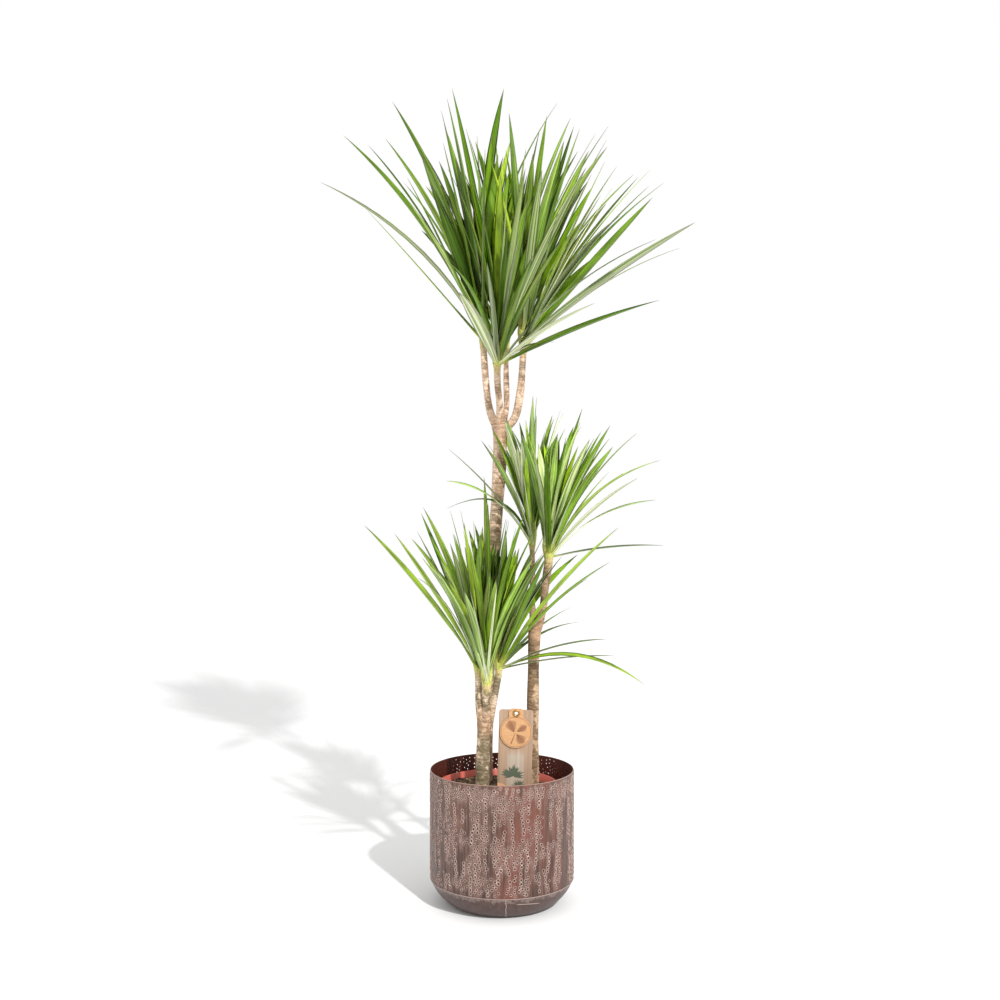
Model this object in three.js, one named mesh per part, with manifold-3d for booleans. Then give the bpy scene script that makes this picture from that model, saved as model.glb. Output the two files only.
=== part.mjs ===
// Potted dracaena: three bare canes of different heights, each forked and topped with fans of
// narrow leaves, rooted in a plastic grower's pot that stands in a sheet-metal planter.
// Millimetres, +Z up. The origin is on the floor under the middle of the planter, and -Y is the
// front, where the paper label stands.
import * as THREE from "three";
import { mergeVertices } from "three/addons/utils/BufferGeometryUtils.js";
import Module from "manifold-3d";

const wasm = await Module();
wasm.setup();

// ---------------------------------------------------------------- driving dimensions

const GAP = 0.3; // air left between pieces that touch
const ROUND = 40; // sides of the pots

const PLANTER = { radius: 125, height: 232, seam: 44, foot: 85, sheet: 1.2, lap: 7 };
const GROWER = { x: -8.5, top: 207, rim: 105, rimHeight: 14, shoulder: 101, base: 76, wall: 1.5 };
const DRAIN = { holes: 6, ring: 50, radius: 7 };
const SOIL = { top: 193, mound: 5, socketDepth: 110, socketGap: 0.4 };
const LABEL = { width: 58.5, height: 194, thick: 1.6, x: 19.5, y: -47, bottom: 150, lean: 1.5 };
const CARD = { corner: 5, pointIn: 12, pointHeight: 22 };
const DISC = { radius: 27.3, thick: 3, drop: 38, tabWidth: 25, tabCorner: 6, sides: 28 };
const EYELET = { hole: 3, tube: 3.6, flange: 6.5, lip: 0.8, drop: 6, sides: 12 };

// The sight line of the reference view: the eye's place and its picture's scale turn a point of
// the picture and a depth y into a place. Canes and leaf tips are given as such points.
const EYE = { x: -3.4, y: -2165, z: 739, pitch: THREE.MathUtils.degToRad(1), focal: 1243 };
const MIDDLE = 500;

// Canes: each path point is [picture x, picture y, depth y, radius].
const CANES = {
  tall_cane: {
    trunk: [
      [485, 845, 36, 12.5],
      [486, 740, 34, 12.5],
      [489, 640, 30, 12.2],
      [493, 560, 26, 11.8],
      [497, 505, 23, 11.2],
      [499.5, 463, 21, 12],
      [500.5, 424, 20, 13.5],
    ],
    branches: [
      [[498, 430, 20, 7.5], [490, 411, 18, 6.4], [486.2, 385, 16, 6], [483.3, 347, 14, 5.8]],
      [[500, 430, 18, 7], [499.6, 404, 8, 6], [497.6, 385, 1, 5.6], [497.2, 370, -4, 5.6]],
      [[502, 430, 24, 6], [506.3, 408, 34, 5], [506.2, 380, 42, 4.9], [506, 352, 46, 4.8]],
      [[503, 431, 21, 8], [515, 417, 21, 7], [520.5, 390, 20, 6.4], [523.3, 352, 18, 6.3]],
    ],
  },
  mid_cane: {
    trunk: [
      [534, 838, -4, 10.5],
      [532.8, 740, -5, 10.4],
      [533.6, 660, -6, 10.2],
      [535, 622, -7, 11.5],
    ],
    branches: [
      [[534, 628, -4, 7], [532.2, 602, 6, 5], [532.6, 575, 12, 4.6], [532.2, 550, 15, 4.5]],
      [[537, 629, -9, 8.5], [543.2, 607, -16, 7], [545, 588, -22, 6.7], [548.6, 562, -26, 7.4]],
    ],
  },
  short_cane: {
    trunk: [
      [482.3, 838, -40, 12.2],
      [482.6, 770, -40, 12],
      [483.8, 735, -41, 12],
      [485, 717, -42, 13.5],
    ],
    branches: [
      [[482, 722, -42, 8], [479.2, 704, -44, 6.4], [478.5, 688, -45, 6], [478.2, 674, -46, 6.2]],
      [[486, 722, -44, 8], [486.8, 708, -52, 6.6], [487, 698, -57, 6.4], [487, 689, -60, 6.8]],
      [[489, 722, -40, 8], [493.6, 702, -34, 6.2], [496.4, 686, -31, 5.8], [498.6, 673, -30, 5.8]],
    ],
  },
};
const TRUNK = { sides: 12, steps: 8 };
const BRANCH = { sides: 8, steps: 6 };

// Leaf heads: foot [picture x, picture y, depth y, radius]; reach is the usual leaf length, lean
// the largest slope of the filling leaves to each side in degrees; fill is their number. A key
// leaf is [tip x, tip y, side, bow, seen width]: side -1 leans fully to the front and 1 to the
// back, bow is the height of its arch in mm, and the width is as the picture shows it.
const HEADS = {
  tall_left: {
    foot: [483.3, 346, 14, 6.6], shoot: 95, reach: 450, width: 15, fill: 22,
    lean: { left: 34, right: 24, front: 50, back: 50 },
    keys: [
      [343, 135, -0.3, 24, 3.5], [368, 145, 0.7, 18, 2.6], [385, 138, -0.6, 22, 4.6],
      [392, 101, 0.4, 17, 4.4], [407, 177, -0.9, 8, 3.2], [366, 209, 0.8, 2, 1.6],
      [441, 110, 0.6, 6, 4], [447, 98, -0.4, 6, 3.4], [443, 142, -0.8, 6, 4.4],
      [448, 197, 0.9, 5, 2.6], [477, 135, 0.8, 6, 3], [485, 148, -0.8, 6, 3.6],
      [504, 88, -0.3, 13, 7.4], [558, 102, 0.6, 28, 1.8], [420, 236, -1, 16, 3],
    ],
  },
  tall_front: {
    foot: [497.2, 369, -4, 6.6], shoot: 92, reach: 450, width: 15, fill: 21,
    lean: { left: 30, right: 32, front: 56, back: 30 },
    keys: [
      [320, 182, -0.3, 40, 3], [452, 88, -0.3, 5, 5.4], [450, 263, -0.6, 29, 4],
      [507, 197, -0.9, 8, 3], [520, 230, -1, 8, 4.4], [508, 225, -1, 6, 3],
      [562, 240, -0.9, 15, 4.6], [533, 255, -0.9, 10, 4], [575, 104, 0.3, 25, 4.4],
      [657, 239, -0.4, 26, 1.6], [696, 222, -0.5, 13, 4], [678, 265, 0.5, 62, 1.6],
      [595, 303, -0.8, 8, 1.5], [660, 300, -0.6, 9, 6], [555, 342, -0.15, 12, 3.6],
      [459, 292, -1, 8, 4], [487, 262, -1, 10, 4.6],
    ],
  },
  tall_back: {
    foot: [506, 350, 46, 5.8], shoot: 95, reach: 445, width: 15, fill: 26,
    lean: { left: 30, right: 34, front: 20, back: 55 },
    keys: [
      [495, 133, 0.7, 6, 3], [571, 117, 0.5, 12, 3], [596, 133, 0.7, 14, 1.6],
      [609, 125, 0.5, 14, 1.6], [634, 174, 0.6, 16, 1.6], [466, 128, 0.7, 8, 3],
      [430, 168, 0.8, 12, 3], [540, 128, 0.7, 8, 3.6],
    ],
  },
  tall_right: {
    foot: [523.4, 350.5, 18, 7.2], shoot: 95, reach: 440, width: 15, fill: 20,
    lean: { left: 24, right: 46, front: 50, back: 50 },
    keys: [
      [509, 112, -0.5, 6, 5], [547, 115, 0.6, 8, 4.4], [574, 126, 0.5, 8, 3.4],
      [580, 128, -0.5, 8, 3.6], [607, 139, 0.5, 12, 1.6], [608, 146, -0.4, 26, 3.6],
      [605, 161, -0.7, 3, 4.6], [592, 173, 0.8, 8, 3], [617, 166, 0.6, 10, 1.6],
      [612, 188, -0.7, 8, 3.8], [650, 170, 0.5, 14, 1.6], [649, 186, -0.3, 14, 1.8],
      [665, 182, 0.3, 20, 4], [653, 197, -0.4, 3, 5.4], [601, 195, 0.9, 8, 2],
      [593, 204, -0.9, 8, 3.2], [680, 248, 0.4, 20, 1.4], [563, 196, -0.9, 6, 4.4],
    ],
  },
  mid_left: {
    foot: [532.2, 548, 15, 5.6], shoot: 72, reach: 285, width: 12.5, fill: 24,
    lean: { left: 34, right: 22, front: 48, back: 55 },
    keys: [
      [533, 395, -0.2, 6, 3.4], [536.5, 397, 0.4, 6, 2.4], [531.6, 406, -0.5, 3, 5.6],
      [527, 427, 0.7, 4, 1.6], [503, 417, -0.5, 6, 5.6], [488, 444, -0.5, 10, 3],
      [510, 451, 0.8, 6, 1.6], [506, 466, -0.8, 8, 2], [523, 472, -0.9, 4, 3.4],
      [448.5, 449, -0.6, 9, 2.4], [446, 481, -0.6, 27, 3], [447, 508.5, -0.5, 46, 2.6],
    ],
  },
  mid_right: {
    foot: [548.7, 560, -26, 7.8], shoot: 72, reach: 285, width: 12.5, fill: 22,
    lean: { left: 22, right: 50, front: 50, back: 48 },
    keys: [
      [582.5, 408, 0.5, 6, 4.6], [566, 437, 0.6, 5, 1.8], [569, 434, -0.6, 5, 2],
      [601.5, 431, 0.5, 8, 3.6], [610.5, 425, -0.4, 6, 5.6], [637, 433, 0.4, 16, 1.6],
      [661, 460, 0.3, 30, 3], [638, 478, -0.7, 12, 4.8], [656, 500, -0.5, 22, 3],
      [609, 472, 0.9, 10, 1.4], [663.5, 545.5, 0.5, 7, 1.4], [546, 452, -0.9, 4, 6.6],
      [546, 427, 0.5, 6, 2], [599, 446, -0.7, 8, 2.6],
    ],
  },
  short_left: {
    foot: [478.2, 672.5, -46, 7], shoot: 68, reach: 310, width: 13.5, fill: 22,
    lean: { left: 38, right: 20, front: 45, back: 50 },
    keys: [
      [364, 525, -0.3, 9, 4.8], [394, 533, -0.5, 5, 4.8], [417, 531, 0.6, 5, 4],
      [421, 513, 0.5, 3, 3.8], [423, 507, -0.4, 10, 6.4], [418, 578, -0.8, 22, 4.4],
      [425, 590, -0.8, 4, 5.4], [450, 510, 0.6, 10, 1.4], [460.5, 510, 0.4, 10, 1.8],
      [464, 522, -0.5, 4, 4], [473.5, 520, 0.6, 4, 3.4],
    ],
  },
  short_front: {
    foot: [487, 687, -60, 7.6], shoot: 70, reach: 310, width: 13.5, fill: 23,
    lean: { left: 28, right: 28, front: 54, back: 26 },
    keys: [
      [484, 476, -0.2, 5, 4.6], [488, 503, -0.6, 5, 5], [476.5, 532, -0.7, 4, 3],
      [506, 518, 0.3, 6, 1.8], [509, 520, -0.6, 5, 3.4], [525.5, 511, -0.4, 8, 4.6],
      [516, 527, -0.7, 5, 3.6], [545.6, 513, 0.3, 15, 1.5], [470, 590, -1, 8, 4.6],
      [497, 585, -1, 6, 5],
    ],
  },
  short_right: {
    foot: [498.7, 671.5, -30, 6.6], shoot: 68, reach: 310, width: 13.5, fill: 22,
    lean: { left: 20, right: 42, front: 45, back: 52 },
    keys: [
      [547, 530, 0.6, 13, 1.8], [546.5, 556, -0.8, 2, 6], [619, 527, 0.2, 12, 4.6],
      [610, 562, -0.5, 15, 3.4], [588, 578, 0.6, 14, 1.6], [571, 607, 0.7, 12, 1.6],
      [580, 622, 0.6, 18, 1.6], [607, 639, -0.4, 11, 1.4], [617, 656, 0.3, 7, 1.6],
      [646, 686, -0.3, 38, 3.2], [562, 556, -0.7, 10, 3.4],
    ],
  },
};

// A blade is a three-sided strip: two edges and a keel under the middle. Its rings are places
// along the blade, with the share of the full width there.
const BLADE_RINGS = [[0, 0.22], [0.32, 0.96], [0.67, 0.88]];
const ROOT_SUNK = 3.5; // depth of a blade's root under the shoot's surface
const CLEAR_FROM = 0.09; // share of a blade's length past which it keeps clear of its own head
const KEEL = 1.6;
const GUARD = 0.9; // how much fatter the test blade is that keeps neighbours apart
const GOLDEN_ANGLE = 2.399963;

// A key leaf grows lower on its shoot the more it slopes: at FLATTEST degrees from the foot, and
// upright from near the top.
const KEY = { flattest: 58, lowest: 0.06, climb: 0.85, power: 1.6, leastDepth: 30 };
const KEY_TRIES = 9;
const NUDGE = 14; // depth step of a key leaf that would cross another head
const ROLL_STEP = 5; // degrees between the rolls tried to show a leaf's width
const ROLL_STEPS = 14;

// A filling leaf: its turn and lean vary a little, and each further try varies them more.
const FILL = {
  upright: 4,
  agePower: 0.8,
  turnJitter: 0.7,
  turnGrowth: 0.12,
  leanJitter: 8,
  shortest: 0.56,
  lengthSpread: 0.2,
  leastArch: 0.02,
  archSpread: 0.06,
  rollSpread: 1.6,
  leastWidth: 0.82,
  widthSpread: 0.25,
  highest: 0.92,
  drop: 0.8,
};
const FILL_TRIES = 14;

const COLORS = {
  metal: { color: 0x6e5550, roughness: 0.45, metalness: 0.8 },
  pan: { color: 0x51403c, roughness: 0.5, metalness: 0.8 },
  terracotta: { color: 0xc85f50, roughness: 0.6, metalness: 0 },
  soil: { color: 0x3a2a20, roughness: 0.95, metalness: 0 },
  bark: { color: 0xc9a78a, roughness: 0.8, metalness: 0 },
  leaf: { color: 0x5c8a2f, roughness: 0.45, metalness: 0 },
  card: { color: 0xd7bea5, roughness: 0.7, metalness: 0 },
  wood: { color: 0xe0b070, roughness: 0.6, metalness: 0 },
  brass: { color: 0xc8a04a, roughness: 0.3, metalness: 1 },
};

// ---------------------------------------------------------------- solids

// The volume that a closed geometry's faces enclose, negative when they point in.
function enclosed(geometry) {
  const at = geometry.getAttribute("position");
  const index = geometry.index.array;
  const [a, b, c] = [new THREE.Vector3(), new THREE.Vector3(), new THREE.Vector3()];
  let sum = 0;
  for (let i = 0; i < index.length; i += 3) {
    a.fromBufferAttribute(at, index[i]);
    b.fromBufferAttribute(at, index[i + 1]);
    c.fromBufferAttribute(at, index[i + 2]);
    sum += a.dot(b.cross(c)) / 6;
  }
  return sum;
}

// A closed geometry as a solid that can be joined and cut. Faces that point in are turned over.
function solidOf(geometry) {
  const bare = geometry.clone();
  bare.deleteAttribute("normal");
  bare.deleteAttribute("uv");
  const merged = mergeVertices(bare, 1e-4);
  const flip = enclosed(merged) < 0;
  const triangles = [];
  const source = merged.index.array;
  for (let i = 0; i < source.length; i += 3) {
    const [a, b, c] = [source[i], source[i + 1], source[i + 2]];
    if (a !== b && b !== c && c !== a) triangles.push(...(flip ? [a, c, b] : [a, b, c]));
  }
  const vertices = new Float32Array(merged.getAttribute("position").array);
  const mesh = new wasm.Mesh({
    numProp: 3,
    vertProperties: vertices,
    triVerts: new Uint32Array(triangles),
  });
  return new wasm.Manifold(mesh);
}

// The one outer skin of a fused solid: the air pockets that fusing sealed are filled.
function filled(solid) {
  const skins = solid.decompose();
  return skins.reduce((best, skin) => (skin.volume() > best.volume() ? skin : best));
}

// A solid as a three.js geometry with flat faces.
function geometryOf(solid) {
  const { vertProperties, triVerts } = solid.getMesh();
  const geometry = new THREE.BufferGeometry();
  geometry.setAttribute("position", new THREE.BufferAttribute(vertProperties, 3));
  geometry.setIndex(new THREE.BufferAttribute(triVerts, 1));
  geometry.computeVertexNormals();
  return geometry;
}

// Rings of points joined into a closed skin, with a flat cap or a single point at each end.
function skinned(rings) {
  const positions = rings.flat().flatMap((p) => [p.x, p.y, p.z]);
  const starts = [];
  let count = 0;
  for (const ring of rings) {
    starts.push(count);
    count += ring.length;
  }
  const index = [];
  for (let r = 0; r + 1 < rings.length; r += 1) {
    const n = rings[r].length;
    const m = rings[r + 1].length;
    for (let k = 0; k < n; k += 1) {
      const a = starts[r] + k;
      const b = starts[r] + ((k + 1) % n);
      const c = starts[r + 1] + (m === 1 ? 0 : (k + 1) % n);
      const d = starts[r + 1] + (m === 1 ? 0 : k);
      index.push(a, b, c);
      if (m > 1) index.push(a, c, d);
    }
  }
  const cap = (start, n) => {
    for (let k = 1; k + 1 < n; k += 1) index.push(start, start + k + 1, start + k);
  };
  cap(starts[0], rings[0].length);
  const last = rings.length - 1;
  const reversed = index.length;
  cap(starts[last], rings[last].length);
  for (let i = reversed; i < index.length; i += 3) {
    [index[i + 1], index[i + 2]] = [index[i + 2], index[i + 1]];
  }
  const geometry = new THREE.BufferGeometry();
  geometry.setAttribute("position", new THREE.Float32BufferAttribute(positions, 3));
  geometry.setIndex(index);
  return geometry;
}

// A profile of [radius, height] points, closed on itself, turned round the vertical.
function turned(profile, sides = ROUND) {
  const points = [...profile, profile[0]].map(([r, z]) => new THREE.Vector2(r, z));
  const geometry = new THREE.LatheGeometry(points, sides);
  geometry.rotateX(Math.PI / 2);
  return solidOf(geometry);
}

// A flat outline in X and Z, drawn upright and given its thickness from y forward.
function slab(shape, y, thick, curveSegments) {
  const geometry = new THREE.ExtrudeGeometry(shape, {
    depth: thick,
    bevelEnabled: false,
    curveSegments,
  });
  geometry.rotateX(Math.PI / 2);
  geometry.translate(0, y, 0);
  return solidOf(geometry);
}

const materials = Object.fromEntries(
  Object.entries(COLORS).map(([name, look]) => [name, new THREE.MeshStandardMaterial(look)]),
);

function piece(name, solid, material) {
  const mesh = new THREE.Mesh(geometryOf(solid), materials[material]);
  mesh.name = name;
  return mesh;
}

// ---------------------------------------------------------------- places

// The place at depth y on the sight line through a point of the picture.
function placed(pictureX, pictureY, y) {
  const across = (pictureX - MIDDLE) / EYE.focal;
  const up = (MIDDLE - pictureY) / EYE.focal;
  const depth = (y - EYE.y) / (Math.cos(EYE.pitch) + up * Math.sin(EYE.pitch));
  const z = EYE.z + depth * (up * Math.cos(EYE.pitch) - Math.sin(EYE.pitch));
  return new THREE.Vector3(EYE.x + across * depth, y, z);
}

// A repeatable draw between 0 and 1 for one blade of one head.
function chance(head, blade, attempt, draw) {
  const mixed = head * 374761393 + blade * 668265263 + attempt * 2246822519 + draw * 3266489917;
  let h = mixed % 4294967296;
  h = (h ^ (h >>> 13)) >>> 0;
  h = Math.imul(h, 1274126177) >>> 0;
  h = (h ^ (h >>> 16)) >>> 0;
  return h / 4294967296;
}

// ---------------------------------------------------------------- planter and grower's pot

function planterWall() {
  const { radius, height, seam, sheet } = PLANTER;
  return turned([
    [radius - sheet, seam],
    [radius, seam],
    [radius, height],
    [radius - sheet, height],
  ]);
}

// The dished pan under the wall: a flat floor, a bulged slope and a lap inside the wall.
function planterBase() {
  const { radius, seam, foot, sheet, lap } = PLANTER;
  const slope = [];
  const steps = 4;
  for (let i = 0; i <= steps; i += 1) {
    const angle = (i / steps) * (Math.PI / 2);
    const round = [foot + (radius - foot) * Math.sin(angle), seam * (1 - Math.cos(angle))];
    const straight = [foot + (radius - foot) * (i / steps), seam * (i / steps)];
    slope.push([(round[0] + straight[0]) / 2, (round[1] + straight[1]) / 2]);
  }
  slope[steps][1] = seam - GAP;
  const inner = slope.map(([r, z]) => [r - sheet * 1.1, z + sheet * 0.9]).reverse();
  const lapOuter = radius - sheet - GAP;
  inner[0] = [lapOuter - sheet, seam - GAP];
  return turned([
    [0, 0],
    ...slope,
    [lapOuter, seam - GAP],
    [lapOuter, seam + lap],
    [lapOuter - sheet, seam + lap],
    ...inner,
    [0, sheet],
  ]);
}

const growerBottom = PLANTER.sheet + GAP;

// Radius of the grower's pot outside at a height below its rim.
function growerRadius(z) {
  const share = (z - growerBottom) / (GROWER.top - growerBottom);
  return GROWER.base + (GROWER.shoulder - GROWER.base) * share;
}

function growerPot() {
  const { top, rim, rimHeight, wall } = GROWER;
  const under = top - rimHeight;
  let pot = turned([
    [0, growerBottom],
    [growerRadius(growerBottom) - 3, growerBottom],
    [growerRadius(growerBottom + 3), growerBottom + 3],
    [growerRadius(under - 4), under - 4],
    [rim - wall, under],
    [rim, under + 1],
    [rim, top - 1],
    [rim - 1, top],
    [rim - wall - 1, top],
    [growerRadius(under) - wall + 0.6, under - 3],
    [growerRadius(growerBottom + 6) - wall, growerBottom + wall + 4],
    [growerRadius(growerBottom) - wall - 2, growerBottom + wall],
    [0, growerBottom + wall],
  ]);
  const drain = new THREE.CylinderGeometry(DRAIN.radius, DRAIN.radius, 3 * wall, 12);
  drain.rotateX(Math.PI / 2);
  const plug = solidOf(drain);
  for (let i = 0; i < DRAIN.holes; i += 1) {
    const angle = (i / DRAIN.holes) * Math.PI * 2;
    const at = [Math.cos(angle) * DRAIN.ring, Math.sin(angle) * DRAIN.ring, growerBottom + wall / 2];
    pot = pot.subtract(plug.translate(at));
  }
  return pot.translate([GROWER.x, 0, 0]);
}

// Potting soil fills the pot to just under its rim and rises a little round the canes.
function soilBody() {
  const { top, mound } = SOIL;
  const floor = growerBottom + GROWER.wall + GAP;
  const under = GROWER.top - GROWER.rimHeight;
  const inside = (z) => growerRadius(z) - GROWER.wall - GAP - 0.4;
  return turned([
    [0, floor],
    [inside(floor) - 3, floor],
    [inside(floor + 6), floor + 6],
    [inside(under - 6), under - 6],
    [inside(under - 6), top - 3],
    [inside(under - 6) - 8, top],
    [55, top + mound * 0.5],
    [28, top + mound],
    [0, top + mound],
  ]).translate([GROWER.x, 0, 0]);
}

// ---------------------------------------------------------------- canes

// A tapering rod through path points [picture x, picture y, depth y, radius].
function rod(path, sides, steps, grow = 0) {
  const curve = new THREE.CatmullRomCurve3(path.map(([x, y, d]) => placed(x, y, d)));
  const frames = curve.computeFrenetFrames(steps);
  const rings = [];
  for (let i = 0; i <= steps; i += 1) {
    const t = curve.getUtoTmapping(i / steps);
    const share = t * (path.length - 1);
    const low = Math.min(Math.floor(share), path.length - 2);
    const radius = THREE.MathUtils.lerp(path[low][3], path[low + 1][3], share - low) + grow;
    const centre = curve.getPoint(t);
    const ring = [];
    for (let k = 0; k < sides; k += 1) {
      const angle = (k / sides) * Math.PI * 2;
      const across = frames.normals[i].clone().multiplyScalar(Math.cos(angle) * radius);
      const back = frames.binormals[i].clone().multiplyScalar(Math.sin(angle) * radius);
      ring.push(centre.clone().add(across).add(back));
    }
    rings.push(ring);
  }
  return solidOf(skinned(rings));
}

function cane({ trunk, branches }) {
  const stems = branches.map((path) => rod(path, BRANCH.sides, BRANCH.steps));
  return filled(wasm.Manifold.union([rod(trunk, TRUNK.sides, TRUNK.steps), ...stems]));
}

// ---------------------------------------------------------------- leaves

// The shoot tapers from its swollen foot to a fine tip.
const SHOOT_TAPER = [1, 1.5, 1.05, 0.3];

function shootRadius(head, share) {
  const place = share * (SHOOT_TAPER.length - 1);
  const low = Math.min(Math.floor(place), SHOOT_TAPER.length - 2);
  return head.foot[3] * THREE.MathUtils.lerp(SHOOT_TAPER[low], SHOOT_TAPER[low + 1], place - low);
}

// The plan of one blade: its root at a share of the shoot's height, its tip, the bend between
// them, its flat side and its width.
function bladePlan(head, tip, bow, width, share, roll) {
  const outward = new THREE.Vector3(tip.x - head.base.x, tip.y - head.base.y, 0).normalize();
  const sunk = Math.max(shootRadius(head, share) - ROOT_SUNK, 0.5);
  const root = head.base.clone().addScaledVector(head.axis, head.shoot * share);
  root.addScaledVector(outward, sunk);
  const chord = tip.clone().sub(root);
  const along = chord.clone().normalize();
  const rise = new THREE.Vector3(0, 0, 1).addScaledVector(along, -along.z).normalize();
  const side = along.clone().cross(rise);
  const bend = root.clone().addScaledVector(chord, 0.5).addScaledVector(rise, 2 * bow);
  return { root, tip, bend, rise, side, width, roll };
}

// The blade's flat side at its roll, across its length.
function flatSide(plan, roll) {
  const flat = plan.side.clone().multiplyScalar(Math.cos(roll));
  return flat.addScaledVector(plan.rise, Math.sin(roll));
}

// The roll that makes a blade look as wide as wanted from the front.
function rollToShow(plan, wanted) {
  let best = 0;
  let miss = Infinity;
  for (let step = 0; step <= ROLL_STEPS; step += 1) {
    for (const sign of [1, -1]) {
      const roll = THREE.MathUtils.degToRad(ROLL_STEP * step * sign);
      const flat = flatSide(plan, roll);
      const shown = plan.width * Math.hypot(flat.x, flat.z);
      if (Math.abs(shown - wanted) < miss - 0.2) {
        miss = Math.abs(shown - wanted);
        best = roll;
      }
    }
  }
  return best;
}

// The blade itself: a bent strip that tapers to a point, fatter by grow all round.
function blade(plan, grow = 0, from = 0) {
  const { root, bend, tip, width } = plan;
  const flat = flatSide(plan, plan.roll);
  const rings = BLADE_RINGS.map(([ringAt, share]) => {
    const t = Math.max(ringAt, from);
    const centre = root.clone().multiplyScalar((1 - t) * (1 - t));
    centre.addScaledVector(bend, 2 * t * (1 - t)).addScaledVector(tip, t * t);
    const along = bend.clone().sub(root).multiplyScalar(1 - t);
    along.addScaledVector(tip.clone().sub(bend), t).normalize();
    const across = flat.clone().addScaledVector(along, -flat.dot(along)).normalize();
    const down = along.clone().cross(across);
    const half = (width * share + grow) / 2;
    const keel = KEEL * (0.5 + 0.5 * share) + grow / 2;
    const corner = (side, low) =>
      centre.clone().addScaledVector(across, side).addScaledVector(down, low);
    if (grow === 0) return [corner(-half, 0), corner(half, 0), corner(0, keel)];
    const skin = grow / 2;
    const top = [corner(-half, -skin), corner(half, -skin)];
    return [...top, corner(half, skin), corner(0, keel), corner(-half, skin)];
  });
  const end = tip.clone().addScaledVector(tip.clone().sub(bend).normalize(), grow);
  return solidOf(skinned([...rings, [end]]));
}

// A key leaf: its tip is on its sight line, at the depth that gives it the usual length.
function keyPlan(head, [pictureX, pictureY, side, bow, seenWidth], attempt) {
  const level = placed(pictureX, pictureY, head.base.y);
  const shown = level.distanceTo(head.base);
  const leftOver = head.reach * head.reach - shown * shown;
  const spare = Math.sqrt(Math.max(leftOver, KEY.leastDepth * KEY.leastDepth));
  const step = Math.ceil(attempt / 2) * NUDGE * (attempt % 2 ? 1 : -1);
  const tip = placed(pictureX, pictureY, head.base.y + side * spare + step);
  const slope = Math.atan2(Math.hypot(tip.x - head.base.x, tip.y - head.base.y), tip.z - head.base.z);
  const young = 1 - Math.min(slope / THREE.MathUtils.degToRad(KEY.flattest), 1);
  const share = KEY.lowest + KEY.climb * Math.pow(young, KEY.power);
  const plan = bladePlan(head, tip, bow, head.width, share, 0);
  const scale = (head.base.y - EYE.y) / EYE.focal;
  plan.roll = rollToShow(plan, seenWidth * scale);
  return plan;
}

// A filling leaf: placed round the shoot by the golden angle, older ones lower and more sloped.
function fillPlan(head, number, attempt) {
  const draw = (k) => chance(head.number, number, attempt, k);
  const age = (number + 0.5) / head.fill;
  const swing = FILL.turnJitter + FILL.turnGrowth * attempt;
  const turn = number * GOLDEN_ANGLE + (draw(1) - 0.5) * swing;
  const [across, back] = [Math.cos(turn), Math.sin(turn)];
  const sideLean = across > 0 ? head.lean.right : head.lean.left;
  const depthLean = back > 0 ? head.lean.back : head.lean.front;
  const most = sideLean * across * across + depthLean * back * back;
  const usual = FILL.upright + (most - FILL.upright) * Math.pow(age, FILL.agePower);
  const lean = usual + (draw(2) - 0.5) * (FILL.leanJitter + attempt);
  const slope = THREE.MathUtils.degToRad(Math.max(lean, 1));
  const length = head.reach * (FILL.shortest + FILL.lengthSpread * draw(3));
  const out = Math.sin(slope) * length;
  const tip = head.base.clone().addScaledVector(head.axis, head.shoot * 0.5);
  tip.add(new THREE.Vector3(across * out, back * out, Math.cos(slope) * length));
  const bow = length * (FILL.leastArch + FILL.archSpread * age * draw(4));
  const roll = (draw(5) - 0.5) * FILL.rollSpread;
  const width = head.width * (FILL.leastWidth + FILL.widthSpread * draw(6));
  return bladePlan(head, tip, bow, width, FILL.highest - FILL.drop * age, roll);
}

// The green shoot that the blades clasp, standing on the end of its branch.
function shoot(head) {
  const sides = 8;
  const start = new THREE.Vector3(0, 1, 0).cross(head.axis).normalize();
  const across = head.axis.clone().cross(start);
  const rings = SHOOT_TAPER.map((taper, i) => {
    const radius = head.foot[3] * taper;
    const height = (head.shoot * i) / (SHOOT_TAPER.length - 1);
    const centre = head.base.clone().addScaledVector(head.axis, height);
    return Array.from({ length: sides }, (_, k) => {
      const angle = (k / sides) * Math.PI * 2;
      const p = centre.clone().addScaledVector(start, Math.cos(angle) * radius);
      return p.addScaledVector(across, Math.sin(angle) * radius);
    });
  });
  return solidOf(skinned(rings));
}

function touches(solid, others) {
  return others.some((other) => !solid.intersect(other).isEmpty());
}

// Every head with its place, in the order of the list.
const heads = Object.entries(HEADS).map(([name, plan], number) => {
  const [x, y, depth] = plan.foot;
  const base = placed(x, y, depth);
  return { ...plan, name, number: number + 1, base, axis: new THREE.Vector3(0, 0, 1) };
});

// Blades are set one by one, and each is bent clear of everything that isn't its own head.
function growHeads(fixed) {
  for (const head of heads) {
    head.solid = shoot(head);
  }
  const rounds = Math.max(...heads.map((head) => head.keys.length + head.fill));
  for (let n = 0; n < rounds; n += 1) {
    for (const head of heads) {
      const others = heads.filter((other) => other !== head).map((other) => other.solid);
      const isKey = n < head.keys.length;
      const fillNumber = n - head.keys.length;
      if (!isKey && fillNumber >= head.fill) continue;
      const tries = isKey ? KEY_TRIES : FILL_TRIES;
      let chosen = null;
      let crossing = null;
      for (let attempt = 0; attempt < tries; attempt += 1) {
        const plan = isKey
          ? keyPlan(head, head.keys[n], attempt)
          : fillPlan(head, fillNumber, attempt);
        if (touches(blade(plan, GUARD), [...fixed, ...others])) continue;
        crossing ??= plan;
        if (touches(blade(plan, 0, CLEAR_FROM), [head.solid])) continue;
        chosen = plan;
        break;
      }
      chosen ??= crossing;
      if (chosen) head.solid = head.solid.add(blade(chosen));
    }
  }
}

// ---------------------------------------------------------------- label

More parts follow.
